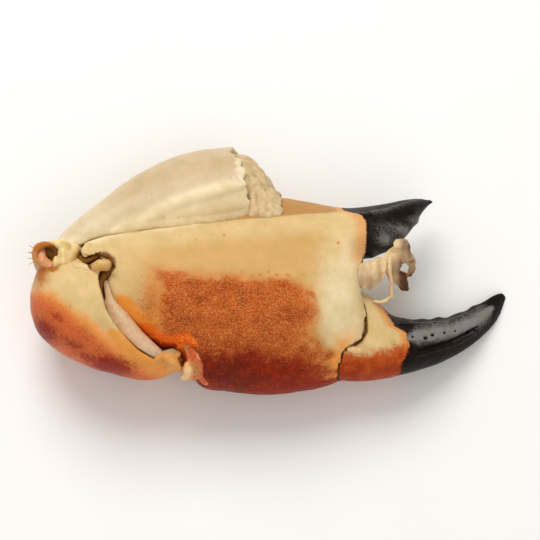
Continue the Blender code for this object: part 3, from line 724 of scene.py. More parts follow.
class CRABCLAW_OT_wrist(bpy.types.Operator):
    """Shapes and colours the wrist segment with its elbow lug"""

    bl_idname = "crab_claw.wrist"
    bl_label = "Wrist segment"

    def execute(self, context):
        sizes, tones = settings()
        wrist = copy_of("wrist_piece", "wrist_shell", sizes.wrist_mesh, ELBOW_HOLES)
        even_facets(wrist, sizes.wrist_mesh, 2.2)
        # The inner end of the elbow lug runs out softly into the segment.
        along, up, out = ((points(wrist) - np.array(CLAW_ORIGIN)) @ FACE_AXES.T / MM).T
        under = smooth(9.6, 7.6, out) * smooth(0.0, 3.0, out)
        under = under * smooth(-65.0, -68.0, along) * smooth(14.0, 16.0, up)
        move_to(wrist, evened(wrist, points(wrist), 150, 0.5 * under))
        flat, own, shown = seen(wrist)
        push(wrist, shown * (relief(flat, WRIST_RELIEF) - 2.2 * stroke(flat, EAR_GROOVE, 1.9, False))
             + 0.28 * drift(own, 8.0, 5) + 0.12 * drift(own, 3.0, 6))

        off_rim = smooth(1.5, 5.5, path_distance(flat, WRIST_RIM)[0])
        dark = np.maximum.reduce([strength * spot(flat, place, radii, turn)
                                  for place, radii, turn, strength in WRIST_DARK])
        red = smooth(4.5, -3.5, above(flat, WRIST_RED)) * off_rim
        from_hole = np.linalg.norm((flat - np.array(ELBOW_HOLE)) / (1.15, 1.0), axis=1)
        lug = smooth(7.0, 5.0, from_hole) * smooth(-65.0, -69.0, flat[:, 0])
        store(wrist, "grain", 0.5 * red)
        store(wrist, "deep", dark)
        material = painted(wrist, "crab_shell_wrist", tones.cream, (
            ("amber", linear("#EEA24C"), 0.5, 0.2, 3, 0.95 * stroke(flat, WRIST_AMBER, 7.0)),
            ("orange", linear("#EA9648"), 0.55, 0.3, 3,
             smooth(4.0, -4.0, above(flat, WRIST_ORANGE)) * (0.45 + 0.55 * off_rim)),
            ("red", tones.red, 0.5, 0.4, 4, red),
            ("dark", linear("#941E02"), 0.5, 0.5, 5, dark),
            ("lug", linear("#B86C22"), 0.5, 0.25, 3, np.maximum(
                lug * (0.8 + 0.7 * drift(own, 3.2, 47)), spot(flat, (-73.8, 12.6), (3.0, 4.6), -15))),
            # Painted shade in the groove round the ear's knob and in the elbow hole.
            ("groove_shade", tones.groove_shade, 0.4, 0.12, 4, np.maximum(
                1.1 * stroke(flat, EAR_GROOVE, 2.6, False), 0.95 * smooth(3.6, 2.6, from_hole))),
            # Painted shade where the wrist meets the palm, its skin and the arm.
            ("gap", tones.gap, 0.4, 0.1, 4, np.maximum(
                joint_gap_shade(wrist, "palm", "wrist_membrane"), joint_gap_shade(wrist, "arm_shell", reach=1.0))),
        ), granules=0.5, polish=0.34, shine=0.12)
        finish_piece(wrist, "wrist_piece", material, "wrist_piece")
        return {"FINISHED"}


class CRABCLAW_OT_arm(bpy.types.Operator):
    """Shapes and colours the broken upper arm and its meat"""

    bl_idname = "crab_claw.arm"
    bl_label = "Upper arm"

    def execute(self, context):
        sizes, tones = settings()
        arm = copy_of("arm_shell", "arm_shell_skin", sizes.arm_mesh)
        even_facets(arm, sizes.arm_mesh, 2.2)
        flat, own, shown = seen(arm)
        push(arm, shown * 0.5 * stroke(flat, ARM_RIDGE, 4.0) + 0.2 * drift(own, 8.0, 7)
             + 0.08 * drift(own, 3.0, 8))
        snug(arm, "palm", within=2.4, leave=0.0)
        # The edge of the break is ragged, and reaches furthest near the palm.
        past = own[:, 0] + 0.2
        ragged = 1.3 * drift(own, 2.4, 9) + 0.8 * drift(own, 1.2, 10) + 2.4 * smooth(50.0, 34.0, flat[:, 1])
        slide(arm, smooth(-7.0, 0.0, past) * ragged, np.array(CLAW_SPACE.to_3x3() @ Vector((1, 0, 0))))
        over = above(flat, ARM_RIDGE)
        material = painted(arm, "crab_shell_arm", linear("#DAC6A0"), (
            ("tan", linear("#CDB28A"), 0.6, 0.12, 1,
             smooth(1.0, 6.0, over) * smooth(-60.0, -40.0, flat[:, 0])),
            # Painted highlight along the ridge, and painted light on the lower face below it, which is turned from
            # the lamps.
            ("pale_and_highlight", tones.pale_and_highlight, 0.6, 0.15, 1,
             np.maximum(0.8 * stroke(flat, ARM_RIDGE, 5.0), 0.75 * smooth(0.0, -4.0, over))),
            ("edge", linear("#EAD9B6"), 0.4, 0.3, 5, smooth(-2.5, -0.2, past)),
            # Painted shade where the arm meets the wrist.
            ("gap", tones.gap, 0.4, 0.1, 4, joint_gap_shade(arm, "wrist_piece", reach=1.2)),
        ), polish=0.34, shine=0.25)
        finish_piece(arm, "arm_shell", material, "arm_shell")

        meat = copy_of("arm_meat", "arm_meat_fibres", sizes.skin_mesh)
        even_facets(meat, sizes.skin_mesh, 1.4)
        own = own_axes(points(meat))
        out = smooth(-4.0, 2.0, own[:, 0])
        fibres = (0.8 * drift(own * FIBRE_DRAW, 2.4, 11) + 0.2 * drift(own * FIBRE_DRAW, 0.9, 12)
                  + 0.8 * drift(own, 4.0, 13))
        push(meat, out * fibres)
        snug(meat, "palm", within=3.0, leave=0.2)
        # Painted shade where the meat runs back under the shell's edge, and in the valleys between the fibres.
        store(meat, "gap", 0.35 * smooth(1.2, -1.5, own[:, 0] + 0.1 * (own[:, 2] - 40))
              + 0.4 * out * smooth(-0.1, -1.1, fibres))
        material = soft_material("cooked_crab_meat", tones.meat, linear("#DAC195"), gloss=0.5,
                                 fibre=(1.0, 1.0, 6.0), depth=0.2)
        finish_piece(meat, "arm_meat", material, "arm_meat")
        flakes = lump("arm_meat_flakes", MEAT_FLAKE_BALLS, 0.3, 14)
        own = own_axes(points(flakes)) * FIBRE_DRAW
        fibres = 0.9 * drift(own, 2.3, 11) + 0.15 * drift(own, 0.9, 12)
        push(flakes, fibres)
        keep_clear(flakes, "palm")
        # Painted shade in the valleys between the flakes.
        store(flakes, "gap", 0.4 * smooth(-0.1, -1.0, fibres))
        finish_piece(flakes, "arm_meat", material)
        return {"FINISHED"}


class CRABCLAW_OT_joint_skins(bpy.types.Operator):
    """Shapes and colours the skins of the wrist and elbow joints and the torn skin between the fingers"""

    bl_idname = "crab_claw.joint_skins"
    bl_label = "Joint skins"

    def execute(self, context):
        sizes, tones = settings()
        material = soft_material("moist_wrist_skin", tones.skin, linear("#DEC4A2"), gloss=0.28, depth=0.1)
        skin = copy_of("wrist_membrane", "wrist_skin", sizes.skin_mesh)
        even_facets(skin, sizes.skin_mesh, 1.4)
        _, own, shown = seen(skin)
        push(skin, shown * 0.15 * drift(own, 3.0, 16))
        # Painted shade where the skin runs under the wrist's rim.
        store(skin, "gap", smooth(1.2, 0.5, nearest_solid(skin, "wrist_piece")[0]))
        finish_piece(skin, "wrist_membrane", material, "wrist_membrane")
        fold = lump("wrist_skin_fold", SKIN_FOLD_BALLS, 0.3, 30)
        keep_clear(fold, "palm", leave=-0.4)
        # Painted shade where the fold runs under the wrist's rim.
        store(fold, "gap", smooth(0.9, 0.3, nearest_solid(fold, "wrist_piece")[0]))
        finish_piece(fold, "wrist_membrane", material)

        skin = copy_of("elbow_membrane", "elbow_skin", sizes.skin_mesh)
        even_facets(skin, sizes.skin_mesh, 1.4)
        push(skin, 0.2 * drift(own_axes(points(skin)), 3.0, 19))
        # Painted shade where the elbow skin meets the shells round it.
        store(skin, "gap", smooth(1.8, 0.6, nearest_solid(skin, "palm", "wrist_piece", "arm_shell")[0]))
        material = soft_material("moist_elbow_skin", tones.flesh, linear("#E0A67C"), gloss=0.3)
        finish_piece(skin, "elbow_membrane", material, "elbow_membrane")

        material = soft_material("torn_joint_skin", tones.torn, linear("#EED4AA"), gloss=0.32, depth=0.15)
        replaced = ("torn_membrane",)
        for name, rows, thick, shade in TORN_SHEETS:
            self.finish_torn(torn_sheet(name, rows, thick), material, shade, replaced)
            replaced = ()
        self.finish_torn(lump("torn_thread", TORN_THREAD_BALLS, 0.18, 3), material, 0.0, ())
        return {"FINISHED"}

    def finish_torn(self, piece, material, shade, replaced):
        """Paints shade on a torn piece in its folds, and by its shade where it hangs low and at its far end."""
        along, up = on_face(points(piece)).T
        push(piece, 0.12 * drift(own_axes(points(piece)), 1.2, 33))
        store(piece, "gap", 0.3 * smooth(0.1, -0.6, fold_noise(along, up)) + shade * (
            smooth(19.0, 9.0, up) + 1.1 * smooth(45.5, 49.5, along)))
        finish_piece(piece, "torn_membrane", material, *replaced)


class CRABCLAW_OT_knobs(bpy.types.Operator):
    """Grows the knobs, lobes, hairs and flesh that show at the joints"""

    bl_idname = "crab_claw.knobs"
    bl_label = "Joint knobs"

    def execute(self, context):
        tones = settings()[1]
        materials = {
            "knob": shell_material("crab_shell_knob", linear("#D09A54"), [
                ("pale_and_highlight", linear("#E2BC7C"), 0.5, 0.2, 4),
                # Painted shade on the knob's left side.
                ("groove_shade", tones.groove_shade, 0.45, 0.2, 4)], polish=0.3),
            "condyle": shell_material("crab_shell_condyle", linear("#D9AE66"), [
                ("pale_and_highlight", linear("#EDD498"), 0.5, 0.2, 4)], polish=0.3),
            "beak": shell_material("crab_shell_beak", linear("#CE8838"), [
                ("pale_and_highlight", linear("#E0A458"), 0.5, 0.3, 4),
                ("ash", linear("#A98E68"), 0.45, 0.2, 5)], polish=0.3),
            "ear": shell_material("crab_shell_ear", linear("#DEBF87"), [
                ("pale_and_highlight", linear("#E4C892"), 0.5, 0.2, 4)], polish=0.36, shine=0.1),
            "lobe": shell_material("crab_shell_joint_lobe", linear("#D4561E"), [
                ("pale_and_highlight", linear("#EE9A66"), 0.3, 0.5, 5),
                # Painted shade between the cream bead and the lobe's rim.
                ("painted_bead_shade", linear("#C8803C"), 0.55, 0.25, 5),
                ("cream", linear("#EAC084"), 0.5, 0.2, 5)], granules=0.7, polish=0.3),
            "bead": shell_material("crab_shell_bead", linear("#E6B878"), [
                ("pale_and_highlight", linear("#F0D09A"), 0.5, 0.2, 4)], polish=0.28),
            "flesh": soft_material("elbow_flesh", tones.flesh, linear("#E8A67C"), gloss=0.3),
            "bristle": soft_material("chitin_bristles", linear("#9A7446"), linear("#B8905C"), gloss=0.4),
            # Brown tissue that is partly joint skin and partly painted shade: it fills the shaded grooves and the
            # dark elbow hole.
            "tissue_and_shade": soft_material("brown_tissue_and_shade", linear("#78450A"), linear("#8C5A16"), gloss=0.35),
        }
        for name, finish, slot, evening, strings in KNOBS:
            hairs = finish == "bristle"
            piece = lump(name, strings, HAIR_MESH if hairs else KNOB_MESH, evening)
            own = own_axes(points(piece))
            if not hairs:
                push(piece, 0.1 * drift(own, 1.6, 21))
            flat = on_face(points(piece))
            along, up = flat.T
            cream = sum(1.2 * spot(flat, place, radii) for place, radii in CONDYLE_CREAM)
            store(piece, "pale_and_highlight", 0.5 + 0.5 * drift(own, 2.5, 22))
            store(piece, "cream", cream)
            # Painted shade between the cream bead and the lobe's rim.
            store(piece, "painted_bead_shade", 1.2 * spot(flat, (-21.4, -19.6), (1.6, 2.6)))
            store(piece, "grain", 0.6 - 0.6 * np.clip(cream, 0, 1))
            # Painted shade on the upper knob's left side; only the knob's material reads it.
            store(piece, "groove_shade", smooth(-55.2, -57.8, along))
            store(piece, "ash", smooth(-14.4, -13.2, up) * smooth(-40.0, -38.0, along))
            finish_piece(piece, slot, materials[finish])
        return {"FINISHED"}


class CRABCLAW_OT_stage(bpy.types.Operator):
    """Sets the plain floor, the soft studio light and the camera"""

    bl_idname = "crab_claw.stage"
    bl_label = "Stage"

    def execute(self, context):
        scene = context.scene
        bpy.ops.object.select_all(action="DESELECT")
        bpy.ops.mesh.primitive_plane_add(size=6.0)
        floor = context.object
        floor.name = "floor"
        # Matt painted board: plain and pale, so that only the claw's own shadow shows on it.
        material, tree, shader, place = start_material("matt_white_board", {"Roughness": 0.6, "IOR": 1.5})
        speck = node(tree, "TexNoise", {"Vector": place, "Scale": 1 / (40.0 * MM), "Detail": 3.0})
        shown = node(tree, "MapRange", {0: speck, 1: 0.3, 2: 0.7, 3: 0.0, 4: 0.06})
        tone = node(tree, "Mix", {0: shown, 6: rgba(settings()[1].floor), 7: rgba(linear("#DAD5CD"))}, 2,
                    data_type="RGBA")
        feed(tree, shader, {"Base Color": tone})
        floor.data.materials.append(material)

        world = bpy.data.worlds.new("studio")
        scene.world = world
        world.use_nodes = True
        feed(world.node_tree, world.node_tree.nodes["Background"], {
            "Color": rgba(linear("#F4F1EC")), "Strength": 0.55})
        for name, place, aim, size, power in LAMPS:
            bpy.ops.object.light_add(type="AREA", location=place)
            lamp = context.object
            lamp.name = name
            lamp.data.shape = "DISK"
            lamp.data.size = size
            lamp.data.energy = power
            lamp.rotation_euler = (Vector(aim) - Vector(place)).to_track_quat("-Z", "Y").to_euler()

        middle = CLAW_ORIGIN + Vector(CAMERA_AIM @ FACE_AXES[:2]) * MM
        bpy.ops.object.camera_add(location=middle + FACE_OUT * CAMERA_DISTANCE,
                                  rotation=(math.pi / 2 - FACE_TILT, 0.0, 0.0))
        camera = context.object
        camera.name = "camera"
        camera.data.sensor_width = SENSOR
        camera.data.lens = SENSOR * CAMERA_DISTANCE / (SHOWN_WIDTH * MM)
        scene.camera = camera
        scene.view_settings.view_transform = "Standard"
        return {"FINISHED"}


class CRABCLAW_PT_panel(bpy.types.Panel):
    bl_idname = "CRABCLAW_PT_panel"
    bl_label = "Crab claw"
    bl_space_type = "VIEW_3D"
    bl_region_type = "UI"
    bl_category = "Crab claw"

    def draw(self, context):
        for group in settings():
            box = self.layout.box()
            for name in group.bl_rna.properties.keys():
                if name not in ("rna_type", "name"):
                    box.prop(group, name)
        for operator in OPERATORS:
            self.layout.operator(operator.bl_idname)


# Lines and places on the shown face, (along, up) in mm from the middle of the palm's axis. BROWN_LEFT,
# BROWN_RIGHT, FIXED_BLACK and MOVING_BLACK are upright lines of (up, along).
PALM_LIP = ((-48.3, 12.9), (-45.6, 6.1), (-42.2, -0.7), (-37.4, -6.1), (-32.0, -10.9), (-29.0, -12.8),
            (-26.8, -14.8))
NEW_LIP = ((-50.1, 11.3), (-47.4, 4.5), (-44.0, -2.3), (-39.2, -7.7), (-33.8, -12.5), (-30.6, -14.4))
# Line of the painted highlight on the palm's crest.
CREST_HIGHLIGHT = ((-58.5, 23.1), (-50.0, 25.6), (-41.5, 27.5), (-20.0, 29.6))
PALM_CREST = ((-60.0, 22.5), (-34.0, 27.2), (-13.6, 29.6), (6.8, 31.3), (27.2, 33.0), (37.4, 32.3))
EAR_GROOVE = ((-58.1, 15.9), (-56.1, 17.3), (-54.5, 18.8), (-51.8, 19.1), (-49.6, 17.5), (-49.4, 15.2),
              (-50.5, 14.1), (-52.3, 12.3))
BROWN_TOP = ((-60.0, 15.0), (-34.8, 13.6), (-25.0, 12.4), (0.0, 11.0), (12.9, 9.4), (18.0, 6.4), (21.0, -3.0),
             (24.0, -10.5), (27.2, -12.0), (60.0, -13.5))
BROWN_LEFT = ((-40.0, -22.0), (-20.0, -24.0), (-12.0, -30.5), (-8.0, -35.5), (3.0, -34.0), (14.0, -32.5),
              (20.0, -32.0))
BROWN_RIGHT = ((-40.0, 24.5), (-14.0, 24.5), (-12.0, 19.0), (-8.0, 15.5), (-1.0, 16.5), (6.0, 17.5),
               (20.0, 16.5))
DEEP_TOP = ((-40.0, -10.0), (-20.0, -12.0), (0.0, -12.5), (12.0, -13.5), (17.0, -17.0), (26.0, -22.0),
            (60.0, -24.0))
LIP_ORANGE = ((-46.5, 5.0), (-43.5, 0.5), (-40.0, -3.0), (-36.0, -5.5))
RIM_ORANGE = ((29.0, -11.0), (27.0, -16.0), (26.0, -27.0))
# Line of the painted shadow on the moving finger, under the palm's lip.
FINGER_SEAM_SHADOW = ((34.9, 1.8), (35.8, -3.4), (35.8, -6.8), (34.0, -9.9), (31.4, -11.6), (28.6, -12.9))
PALM_FLAME = ((-40.0, -5.0), (-36.5, -8.0), (-32.5, -10.4), (-28.5, -10.6), (-25.0, -9.6), (-22.0, -10.5))
PALM_RED = ((-37.0, -9.6), (-33.5, -11.6), (-30.5, -12.2), (-28.2, -11.6))
PALM_DOTS = ((0.0, 12.3), (5.6, 12.3), (9.5, 12.2), (-12.2, 25.8), (26.5, 23.1), (3.0, 13.5), (-6.0, 13.2))
LOBE_RIM = ((-27.0, -10.0), (-24.4, -9.0), (-21.6, -10.9), (-19.8, -13.8), (-19.4, -17.0), (-19.9, -20.2))
LOBE_HOLLOW = ((-22.6, -13.6), (-21.8, -15.8), (-22.2, -18.4))
FIXED_BLACK = ((10.0, 33.0), (17.0, 34.3), (20.4, 35.4), (25.0, 36.0), (30.5, 35.8), (32.0, 34.6),
               (34.0, 28.5), (36.0, 27.0), (45.0, 26.5))
FIXED_RIDGE = ((36.5, 32.6), (43.0, 33.8), (51.0, 36.4), (56.0, 37.6))
FIXED_GROOVE = ((38.5, 30.2), (45.0, 30.8), (52.0, 33.6))
FIXED_TEETH = ((37.5, 19.5), (45.0, 21.5), (41.8, 24.2), (48.2, 27.6), (52.6, 31.0))
MOVING_GROOVE = ((53.9, -13.5), (64.1, -10.8), (70.9, -7.9), (75.3, -5.4))
MOVING_RIDGE = ((53.0, -15.2), (60.0, -13.2), (68.0, -11.0), (76.0, -6.6))
MOVING_EDGE = ((47.6, -4.6), (56.0, -4.9), (64.0, -4.4), (72.0, -1.4), (78.0, 1.8))
MOVING_HOLLOW = ((50.0, -2.4), (57.0, -2.8), (64.0, -2.2), (71.0, 0.4))
MOVING_TEETH = ((50.5, -1.6), (54.5, -2.0), (58.6, -1.8), (62.8, -1.2), (66.8, 0.2), (70.6, 2.2))
# Line of the painted sheen on the moving finger.
MOVING_SHEEN_BAND = ((50.0, -9.0), (58.0, -7.8), (66.0, -6.8), (74.0, -3.6), (80.0, 0.6))
MOVING_PITS = ((52.0, -8.6, 0.55), (56.6, -9.1, 0.95), (59.0, -8.1, 0.8), (63.2, -7.4, 0.6),
               (67.0, -6.9, 0.5), (71.7, -7.4, 0.45), (74.3, -6.9, 0.5), (51.5, -11.0, 0.5), (51.7, -12.5, 0.45))
MOVING_BLACK = ((-40.0, 47.0), (-21.0, 47.6), (-17.6, 48.1), (-14.7, 49.6), (-11.8, 50.7), (-7.4, 49.6),
                (-5.0, 45.6), (2.3, 41.3), (20.0, 38.0))
MOVING_ORANGE = ((20.0, -14.5), (30.1, -14.7), (37.4, -14.4), (43.7, -13.5), (49.0, -12.2),
                 (80.0, -12.0))
WRIST_RIM = ((-54.4, 14.0), (-54.0, 7.0), (-52.4, 0.0), (-48.3, -5.4), (-42.8, -10.2), (-36.0, -14.3),
             (-30.6, -17.0))
WRIST_AMBER = ((-50.0, -6.5), (-46.0, -10.5), (-41.5, -13.5), (-36.0, -17.0), (-31.0, -19.0))
WRIST_RIM_SHADE = ((-57.4, 10.0), (-57.0, 4.0), (-55.0, -3.0), (-50.0, -9.0), (-43.0, -14.0))
WRIST_ORANGE = ((-80.0, 7.0), (-71.4, 7.0), (-66.6, 4.4), (-62.6, 0.6), (-57.1, -1.6), (-51.0, -6.8),
                (-40.0, -14.0))
WRIST_RED = ((-80.0, 6.5), (-74.0, 5.0), (-68.0, 1.6), (-62.0, -2.8), (-56.0, -8.0), (-48.0, -16.0),
             (-42.0, -20.0), (-30.0, -25.0))
WRIST_DARK = (((-72.8, -6.8), (5.4, 4.0), -40, 1.15), ((-63.5, -10.5), (6.0, 2.0), -28, 0.6),
              ((-50.0, -18.4), (7.5, 3.6), -14, 1.3), ((-68.0, -2.0), (3.0, 1.4), -30, 0.6),
              ((-58.0, -15.5), (5.0, 1.8), -30, 0.7))
ARM_RIDGE = ((-50.0, 27.0), (-40.8, 30.6), (-27.2, 37.4), (-10.2, 42.2), (-6.0, 43.0))
CONDYLE_CREAM = (((-24.3, -20.2), (1.7, 3.0)), ((-25.8, -22.4), (1.0, 0.9)))
ELBOW_HOLE = (-70.6, 19.2)
ELBOW_HOLES = ((-70.0, 19.4, 14.4, 2.7), (-71.8, 19.6, 13.6, 2.2))

# Ridges and grooves of the shells: line, height and width in mm.
PALM_RELIEF = ((NEW_LIP, 1.3, 3.0), (PALM_CREST, 0.5, 3.0), (FIXED_RIDGE, 0.9, 1.6), (FIXED_GROOVE, -0.9, 2.2),
               (LOBE_RIM, 0.9, 1.8), (LOBE_HOLLOW, -0.9, 2.0))
FINGER_RELIEF = ((MOVING_GROOVE, -0.9, 1.4), (MOVING_RIDGE, 0.45, 1.2), (MOVING_EDGE, 0.7, 1.4),
                 (MOVING_HOLLOW, -0.5, 2.2))
WRIST_RELIEF = ((WRIST_RIM, 0.4, 2.2), (WRIST_RIM_SHADE, -0.35, 3.0))

# The meat's fibres run across the claw, so their noise is drawn out along the claw's own z.
FIBRE_DRAW = (1.0, 1.0, 0.2)

# Strings of balls, as (along, up, out, radius) in mm.
UPPER_KNOB_BALLS = [[(-57.0, 15.0, 13.9, 0.9), (-55.4, 15.2, 14.5, 1.5), (-53.2, 15.6, 15.0, 2.2),
                     (-51.7, 15.6, 15.0, 2.2)]]
EAR_TIP_BALLS = [[(-58.6, 19.2, 12.0, 1.1), (-58.8, 20.4, 11.2, 1.5), (-57.8, 21.6, 10.0, 1.6)]]
WRIST_CORNER_BALLS = [[(-61.6, 15.0, 12.8, 1.5), (-59.6, 15.0, 12.8, 1.5), (-57.8, 14.2, 13.4, 1.3)]]
TISSUE_BALLS = [[(-61.8, 18.4, 6.6, 1.5), (-60.2, 17.2, 9.2, 1.2), (-58.4, 16.8, 11.4, 0.95),
                 (-56.6, 17.5, 12.8, 0.95), (-54.8, 18.6, 13.6, 1.0), (-52.8, 19.2, 13.8, 1.0),
                 (-50.8, 18.8, 13.9, 1.0), (-49.4, 17.4, 14.1, 1.0), (-49.0, 15.6, 13.9, 1.0),
                 (-49.8, 13.9, 13.1, 1.15), (-52.0, 12.3, 11.8, 1.4), (-53.6, 10.3, 11.4, 1.4),
                 (-54.1, 7.6, 11.8, 1.3), (-53.6, 5.3, 12.2, 1.2), (-52.8, 2.0, 12.6, 1.2),
                 (-51.0, -2.7, 13.0, 1.2), (-47.8, -8.2, 14.0, 1.3), (-42.6, -12.8, 13.4, 1.3),
                 (-36.4, -15.4, 12.2, 1.4), (-32.0, -14.8, 10.8, 1.8), (-29.0, -14.6, 10.8, 1.8),
                 (-27.0, -16.2, 10.4, 1.6), (-26.9, -17.8, 9.6, 1.4)],
                [(-62.4, 20.4, 5.0, 1.4), (-61.4, 22.0, 4.8, 1.3)]]
SKIN_FOLD_BALLS = [[(-51.6, 9.8, 11.6, 1.3), (-50.4, 6.8, 12.2, 2.1), (-49.3, 2.4, 12.8, 2.7),
                    (-46.1, -3.4, 12.9, 3.4), (-42.0, -8.6, 12.8, 3.4), (-37.4, -12.6, 12.2, 3.0),
                    (-34.2, -14.2, 11.6, 2.0)],
                   [(-51.8, 2.4, 12.6, 1.4), (-48.8, -4.4, 13.4, 2.0), (-44.4, -9.8, 13.4, 2.2),
                    (-39.2, -13.6, 12.6, 2.0)]]
ELBOW_TISSUE_BALLS = [[(-69.6, 19.4, 8.6, 2.6), (-72.0, 20.2, 8.4, 2.2)]]
LOWER_BEAK_BALLS = [[(-34.5, -15.8, 12.2, 1.5), (-31.4, -16.0, 13.0, 2.1), (-29.0, -17.2, 12.8, 2.1),
                     (-27.4, -19.4, 12.2, 1.3)],
                    [(-32.4, -14.4, 12.0, 1.4), (-29.4, -13.6, 12.6, 1.4), (-27.6, -14.4, 12.4, 1.2)]]
LOWER_CONDYLE_BALLS = [[(-25.0, -11.0, 12.8, 1.5), (-23.0, -12.0, 13.6, 2.4), (-21.8, -14.4, 13.8, 3.0),
                        (-21.2, -17.0, 13.2, 3.0), (-21.4, -19.2, 12.0, 2.6)],
                       [(-24.2, -18.2, 13.4, 1.6), (-24.1, -20.0, 12.9, 2.0), (-24.1, -21.4, 11.8, 1.8),
                        (-25.8, -22.3, 11.0, 1.1)],
                       [(-20.2, -18.6, 11.8, 2.0), (-20.4, -20.6, 10.2, 1.9), (-22.4, -21.9, 10.0, 1.6)],
                       [(-19.2, -21.8, 8.8, 1.9), (-18.2, -23.2, 7.6, 1.9)]]
LUG_ROOT_BALLS = [[(-74.2, 20.8, 8.0, 2.6), (-74.3, 19.6, 5.0, 3.2), (-74.4, 17.6, 1.6, 3.1),
                   (-74.4, 15.2, -2.4, 2.5)],
                  [(-71.2, 21.6, 7.6, 2.2), (-71.9, 19.9, 4.6, 2.8), (-73.0, 18.0, 1.2, 2.8)]]
ELBOW_FLESH_BALLS = [[(-73.4, 20.6, 10.4, 1.2), (-73.6, 18.8, 11.0, 1.7), (-73.0, 17.0, 11.6, 1.8),
                      (-70.8, 15.8, 11.8, 1.5)]]
ELBOW_CONDYLE_BALLS = [[(-69.8, 23.0, 10.4, 1.2), (-68.0, 22.6, 10.8, 1.6), (-65.6, 22.0, 9.8, 2.0)],
                       [(-68.3, 18.6, 11.2, 1.2), (-68.8, 15.8, 12.2, 1.3)],
                       [(-66.2, 19.6, 10.4, 2.2), (-65.9, 16.8, 11.8, 1.8)],
                       [(-62.8, 21.0, 7.2, 2.4), (-63.8, 18.8, 9.2, 2.5), (-64.8, 17.0, 10.6, 2.0)]]
ELBOW_BRISTLES = [[(-76.4, up, 10.0, 0.15), (-77.2, up + lean, 10.2, 0.12),
                   (-77.2 - reach, up + 2.2 * lean, 10.6, 0.08)]
                  for up, lean, reach in ((21.4, 0.45, 0.5), (20.0, -0.1, 1.0), (19.5, 0.25, 0.7),
                                          (17.7, 0.1, 1.1), (16.6, -0.4, 0.6))]
FINGER_BEAD_BALLS = [[(29.6, -12.4, 9.0, 1.1), (31.6, -12.8, 9.0, 1.4), (33.6, -13.2, 8.6, 1.1)]]
MEAT_FLAKE_BALLS = [[(-2.2, 41.0, -4.5, 2.4), (-2.2, 37.0, -3.4, 2.4), (-2.4, 34.0, -1.4, 2.3),
                     (-2.6, 32.2, 0.8, 1.6)],
                    [(0.8, 40.5, -5.2, 2.4), (0.8, 37.0, -3.2, 2.4), (0.8, 34.0, 0.0, 2.1), (0.8, 32.2, 2.4, 1.6)],
                    [(3.6, 40.0, -7.5, 2.4), (3.6, 37.0, -3.0, 2.3), (3.6, 34.2, 0.4, 2.1), (3.4, 32.2, 2.6, 1.6)],
                    [(5.4, 39.4, -8.5, 1.8), (5.8, 37.2, -3.4, 1.8), (6.0, 34.5, 0.2, 1.7), (5.8, 32.4, 2.8, 1.3)]]
TORN_THREAD_BALLS = [[(44.2, 18.4, 2.2, 0.7), (43.9, 14.6, 2.8, 0.8), (44.4, 11.0, 2.2, 0.75),
                      (44.6, 8.2, 1.4, 0.7), (44.5, 4.8, 0.8, 0.8), (43.0, 3.6, 0.8, 0.65),
                      (40.8, 3.0, 1.2, 0.55), (38.8, 3.4, 1.6, 0.5)]]

# Spacing of the points on the knobs and on the hairs, in mm.
KNOB_MESH = 0.22
HAIR_MESH = 0.07

# The knobs: name, kind of shell or flesh, slot, turns of evening and balls.
KNOBS = (
    # The tissue bands are partly joint skin and partly painted shade in the grooves and the elbow hole.
    ("joint_tissue_and_shade", "tissue_and_shade", "wrist_membrane", 6, TISSUE_BALLS),
    ("elbow_tissue_and_shade", "tissue_and_shade", "elbow_membrane", 4, ELBOW_TISSUE_BALLS),
    ("upper_wrist_knob", "knob", "wrist_piece", 8, UPPER_KNOB_BALLS),
    ("lower_wrist_beak", "beak", "wrist_piece", 8, LOWER_BEAK_BALLS),
    ("lower_palm_condyle", "lobe", "palm", 14, LOWER_CONDYLE_BALLS),
    ("elbow_lug_root", "beak", "wrist_piece", 16, LUG_ROOT_BALLS),
    ("elbow_flesh_lump", "flesh", "elbow_membrane", 8, ELBOW_FLESH_BALLS),
    ("elbow_condyle", "condyle", "arm_shell", 36, ELBOW_CONDYLE_BALLS),
    ("elbow_bristles", "bristle", "wrist_piece", 1, ELBOW_BRISTLES),
    ("finger_bead", "bead", "palm", 6, FINGER_BEAD_BALLS),
    ("palm_ear_tip", "ear", "palm", 8, EAR_TIP_BALLS),
    ("wrist_corner", "ear", "wrist_piece", 8, WRIST_CORNER_BALLS),
)

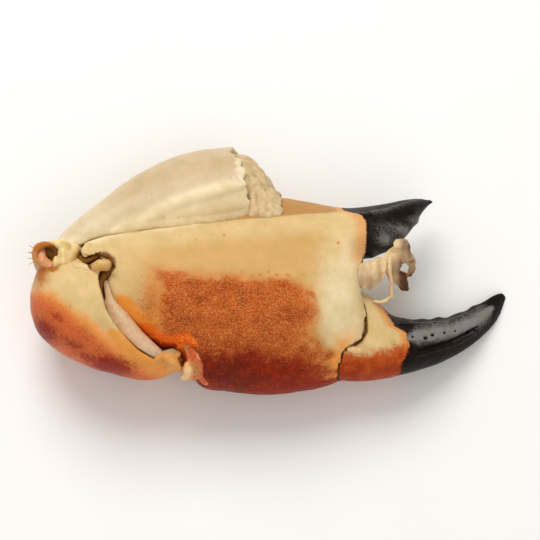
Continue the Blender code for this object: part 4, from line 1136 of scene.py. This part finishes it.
# Torn skin between the fingers. A sheet has rows (up, left, right, height at left, height at right) in mm,
# a thickness in mm and the strength of its shade.
TORN_SHEETS = (
    ("torn_flap", ((18.2, 39.0, 42.0, 2.4, 1.0), (17.0, 38.0, 42.6, 3.4, 1.6), (16.2, 34.2, 42.6, 6.0, 2.2),
                   (15.0, 33.4, 42.6, 7.0, 2.6), (12.9, 33.2, 42.4, 7.4, 3.0), (11.2, 33.2, 42.0, 7.0, 2.8),
                   (9.5, 33.4, 40.4, 6.4, 2.6), (8.2, 34.0, 38.8, 5.4, 2.8), (7.5, 35.8, 37.6, 4.6, 3.0)),
     0.9, 0.15),
    ("torn_web", ((24.4, 46.4, 49.4, 0.0, -0.6), (23.5, 45.6, 50.3, 1.0, 0.6), (21.8, 45.5, 50.8, 1.8, 1.4),
                  (20.4, 43.2, 51.0, 0.4, 1.6), (18.9, 42.2, 52.0, 1.2, 1.6), (17.0, 42.2, 52.4, 1.8, 1.6),
                  (16.2, 42.2, 47.9, 2.0, 1.4), (13.6, 42.4, 47.6, 1.8, 1.0), (12.9, 42.6, 50.2, 1.6, 0.6),
                  (10.9, 43.4, 50.4, 1.0, 0.4), (9.2, 46.2, 50.4, 0.4, 0.0), (6.8, 48.8, 50.3, -0.4, -0.4)),
     0.9, 0.6),
    ("torn_curl", ((19.2, 48.6, 52.0, 1.6, 1.4), (17.2, 49.8, 52.7, 1.8, 1.0), (15.0, 50.7, 52.8, 1.6, 0.8),
                   (13.3, 50.4, 52.4, 1.2, 0.8), (11.8, 49.4, 51.4, 0.8, 0.6)), 0.9, 0.45),
)

# Lamps: name, place, aim, width and watts. The light comes mainly from the fixed finger's side.
LAMPS = (
    ("key_light", (-0.25, 0.70, 0.95), (0.0, 0.0, 0.02), 0.8, 9.0),
    ("fill_light", (0.3, -0.9, 1.0), (0.0, 0.0, 0.02), 1.4, 5.0),
)
CAMERA_AIM = (3.4, 13.94)
CAMERA_DISTANCE = 1.1
SENSOR = 36.0
SHOWN_WIDTH = 183.6

OPERATORS = (CRABCLAW_OT_palm, CRABCLAW_OT_moving_finger, CRABCLAW_OT_wrist, CRABCLAW_OT_arm,
             CRABCLAW_OT_joint_skins, CRABCLAW_OT_knobs, CRABCLAW_OT_stage)
CLASSES = (CrabClawSizes, CrabClawColours, *OPERATORS, CRABCLAW_PT_panel)


def register():
    for item in CLASSES:
        bpy.utils.register_class(item)
    bpy.types.Scene.crab_claw_sizes = PointerProperty(type=CrabClawSizes)
    bpy.types.Scene.crab_claw_colours = PointerProperty(type=CrabClawColours)


def unregister():
    del bpy.types.Scene.crab_claw_colours
    del bpy.types.Scene.crab_claw_sizes
    for item in reversed(CLASSES):
        bpy.utils.unregister_class(item)


def main():
    register()
    bpy.ops.crab_claw.palm()
    bpy.ops.crab_claw.moving_finger()
    bpy.ops.crab_claw.wrist()
    bpy.ops.crab_claw.arm()
    bpy.ops.crab_claw.joint_skins()
    bpy.ops.crab_claw.knobs()
    bpy.ops.crab_claw.stage()


if __name__ == "__main__":
    main()
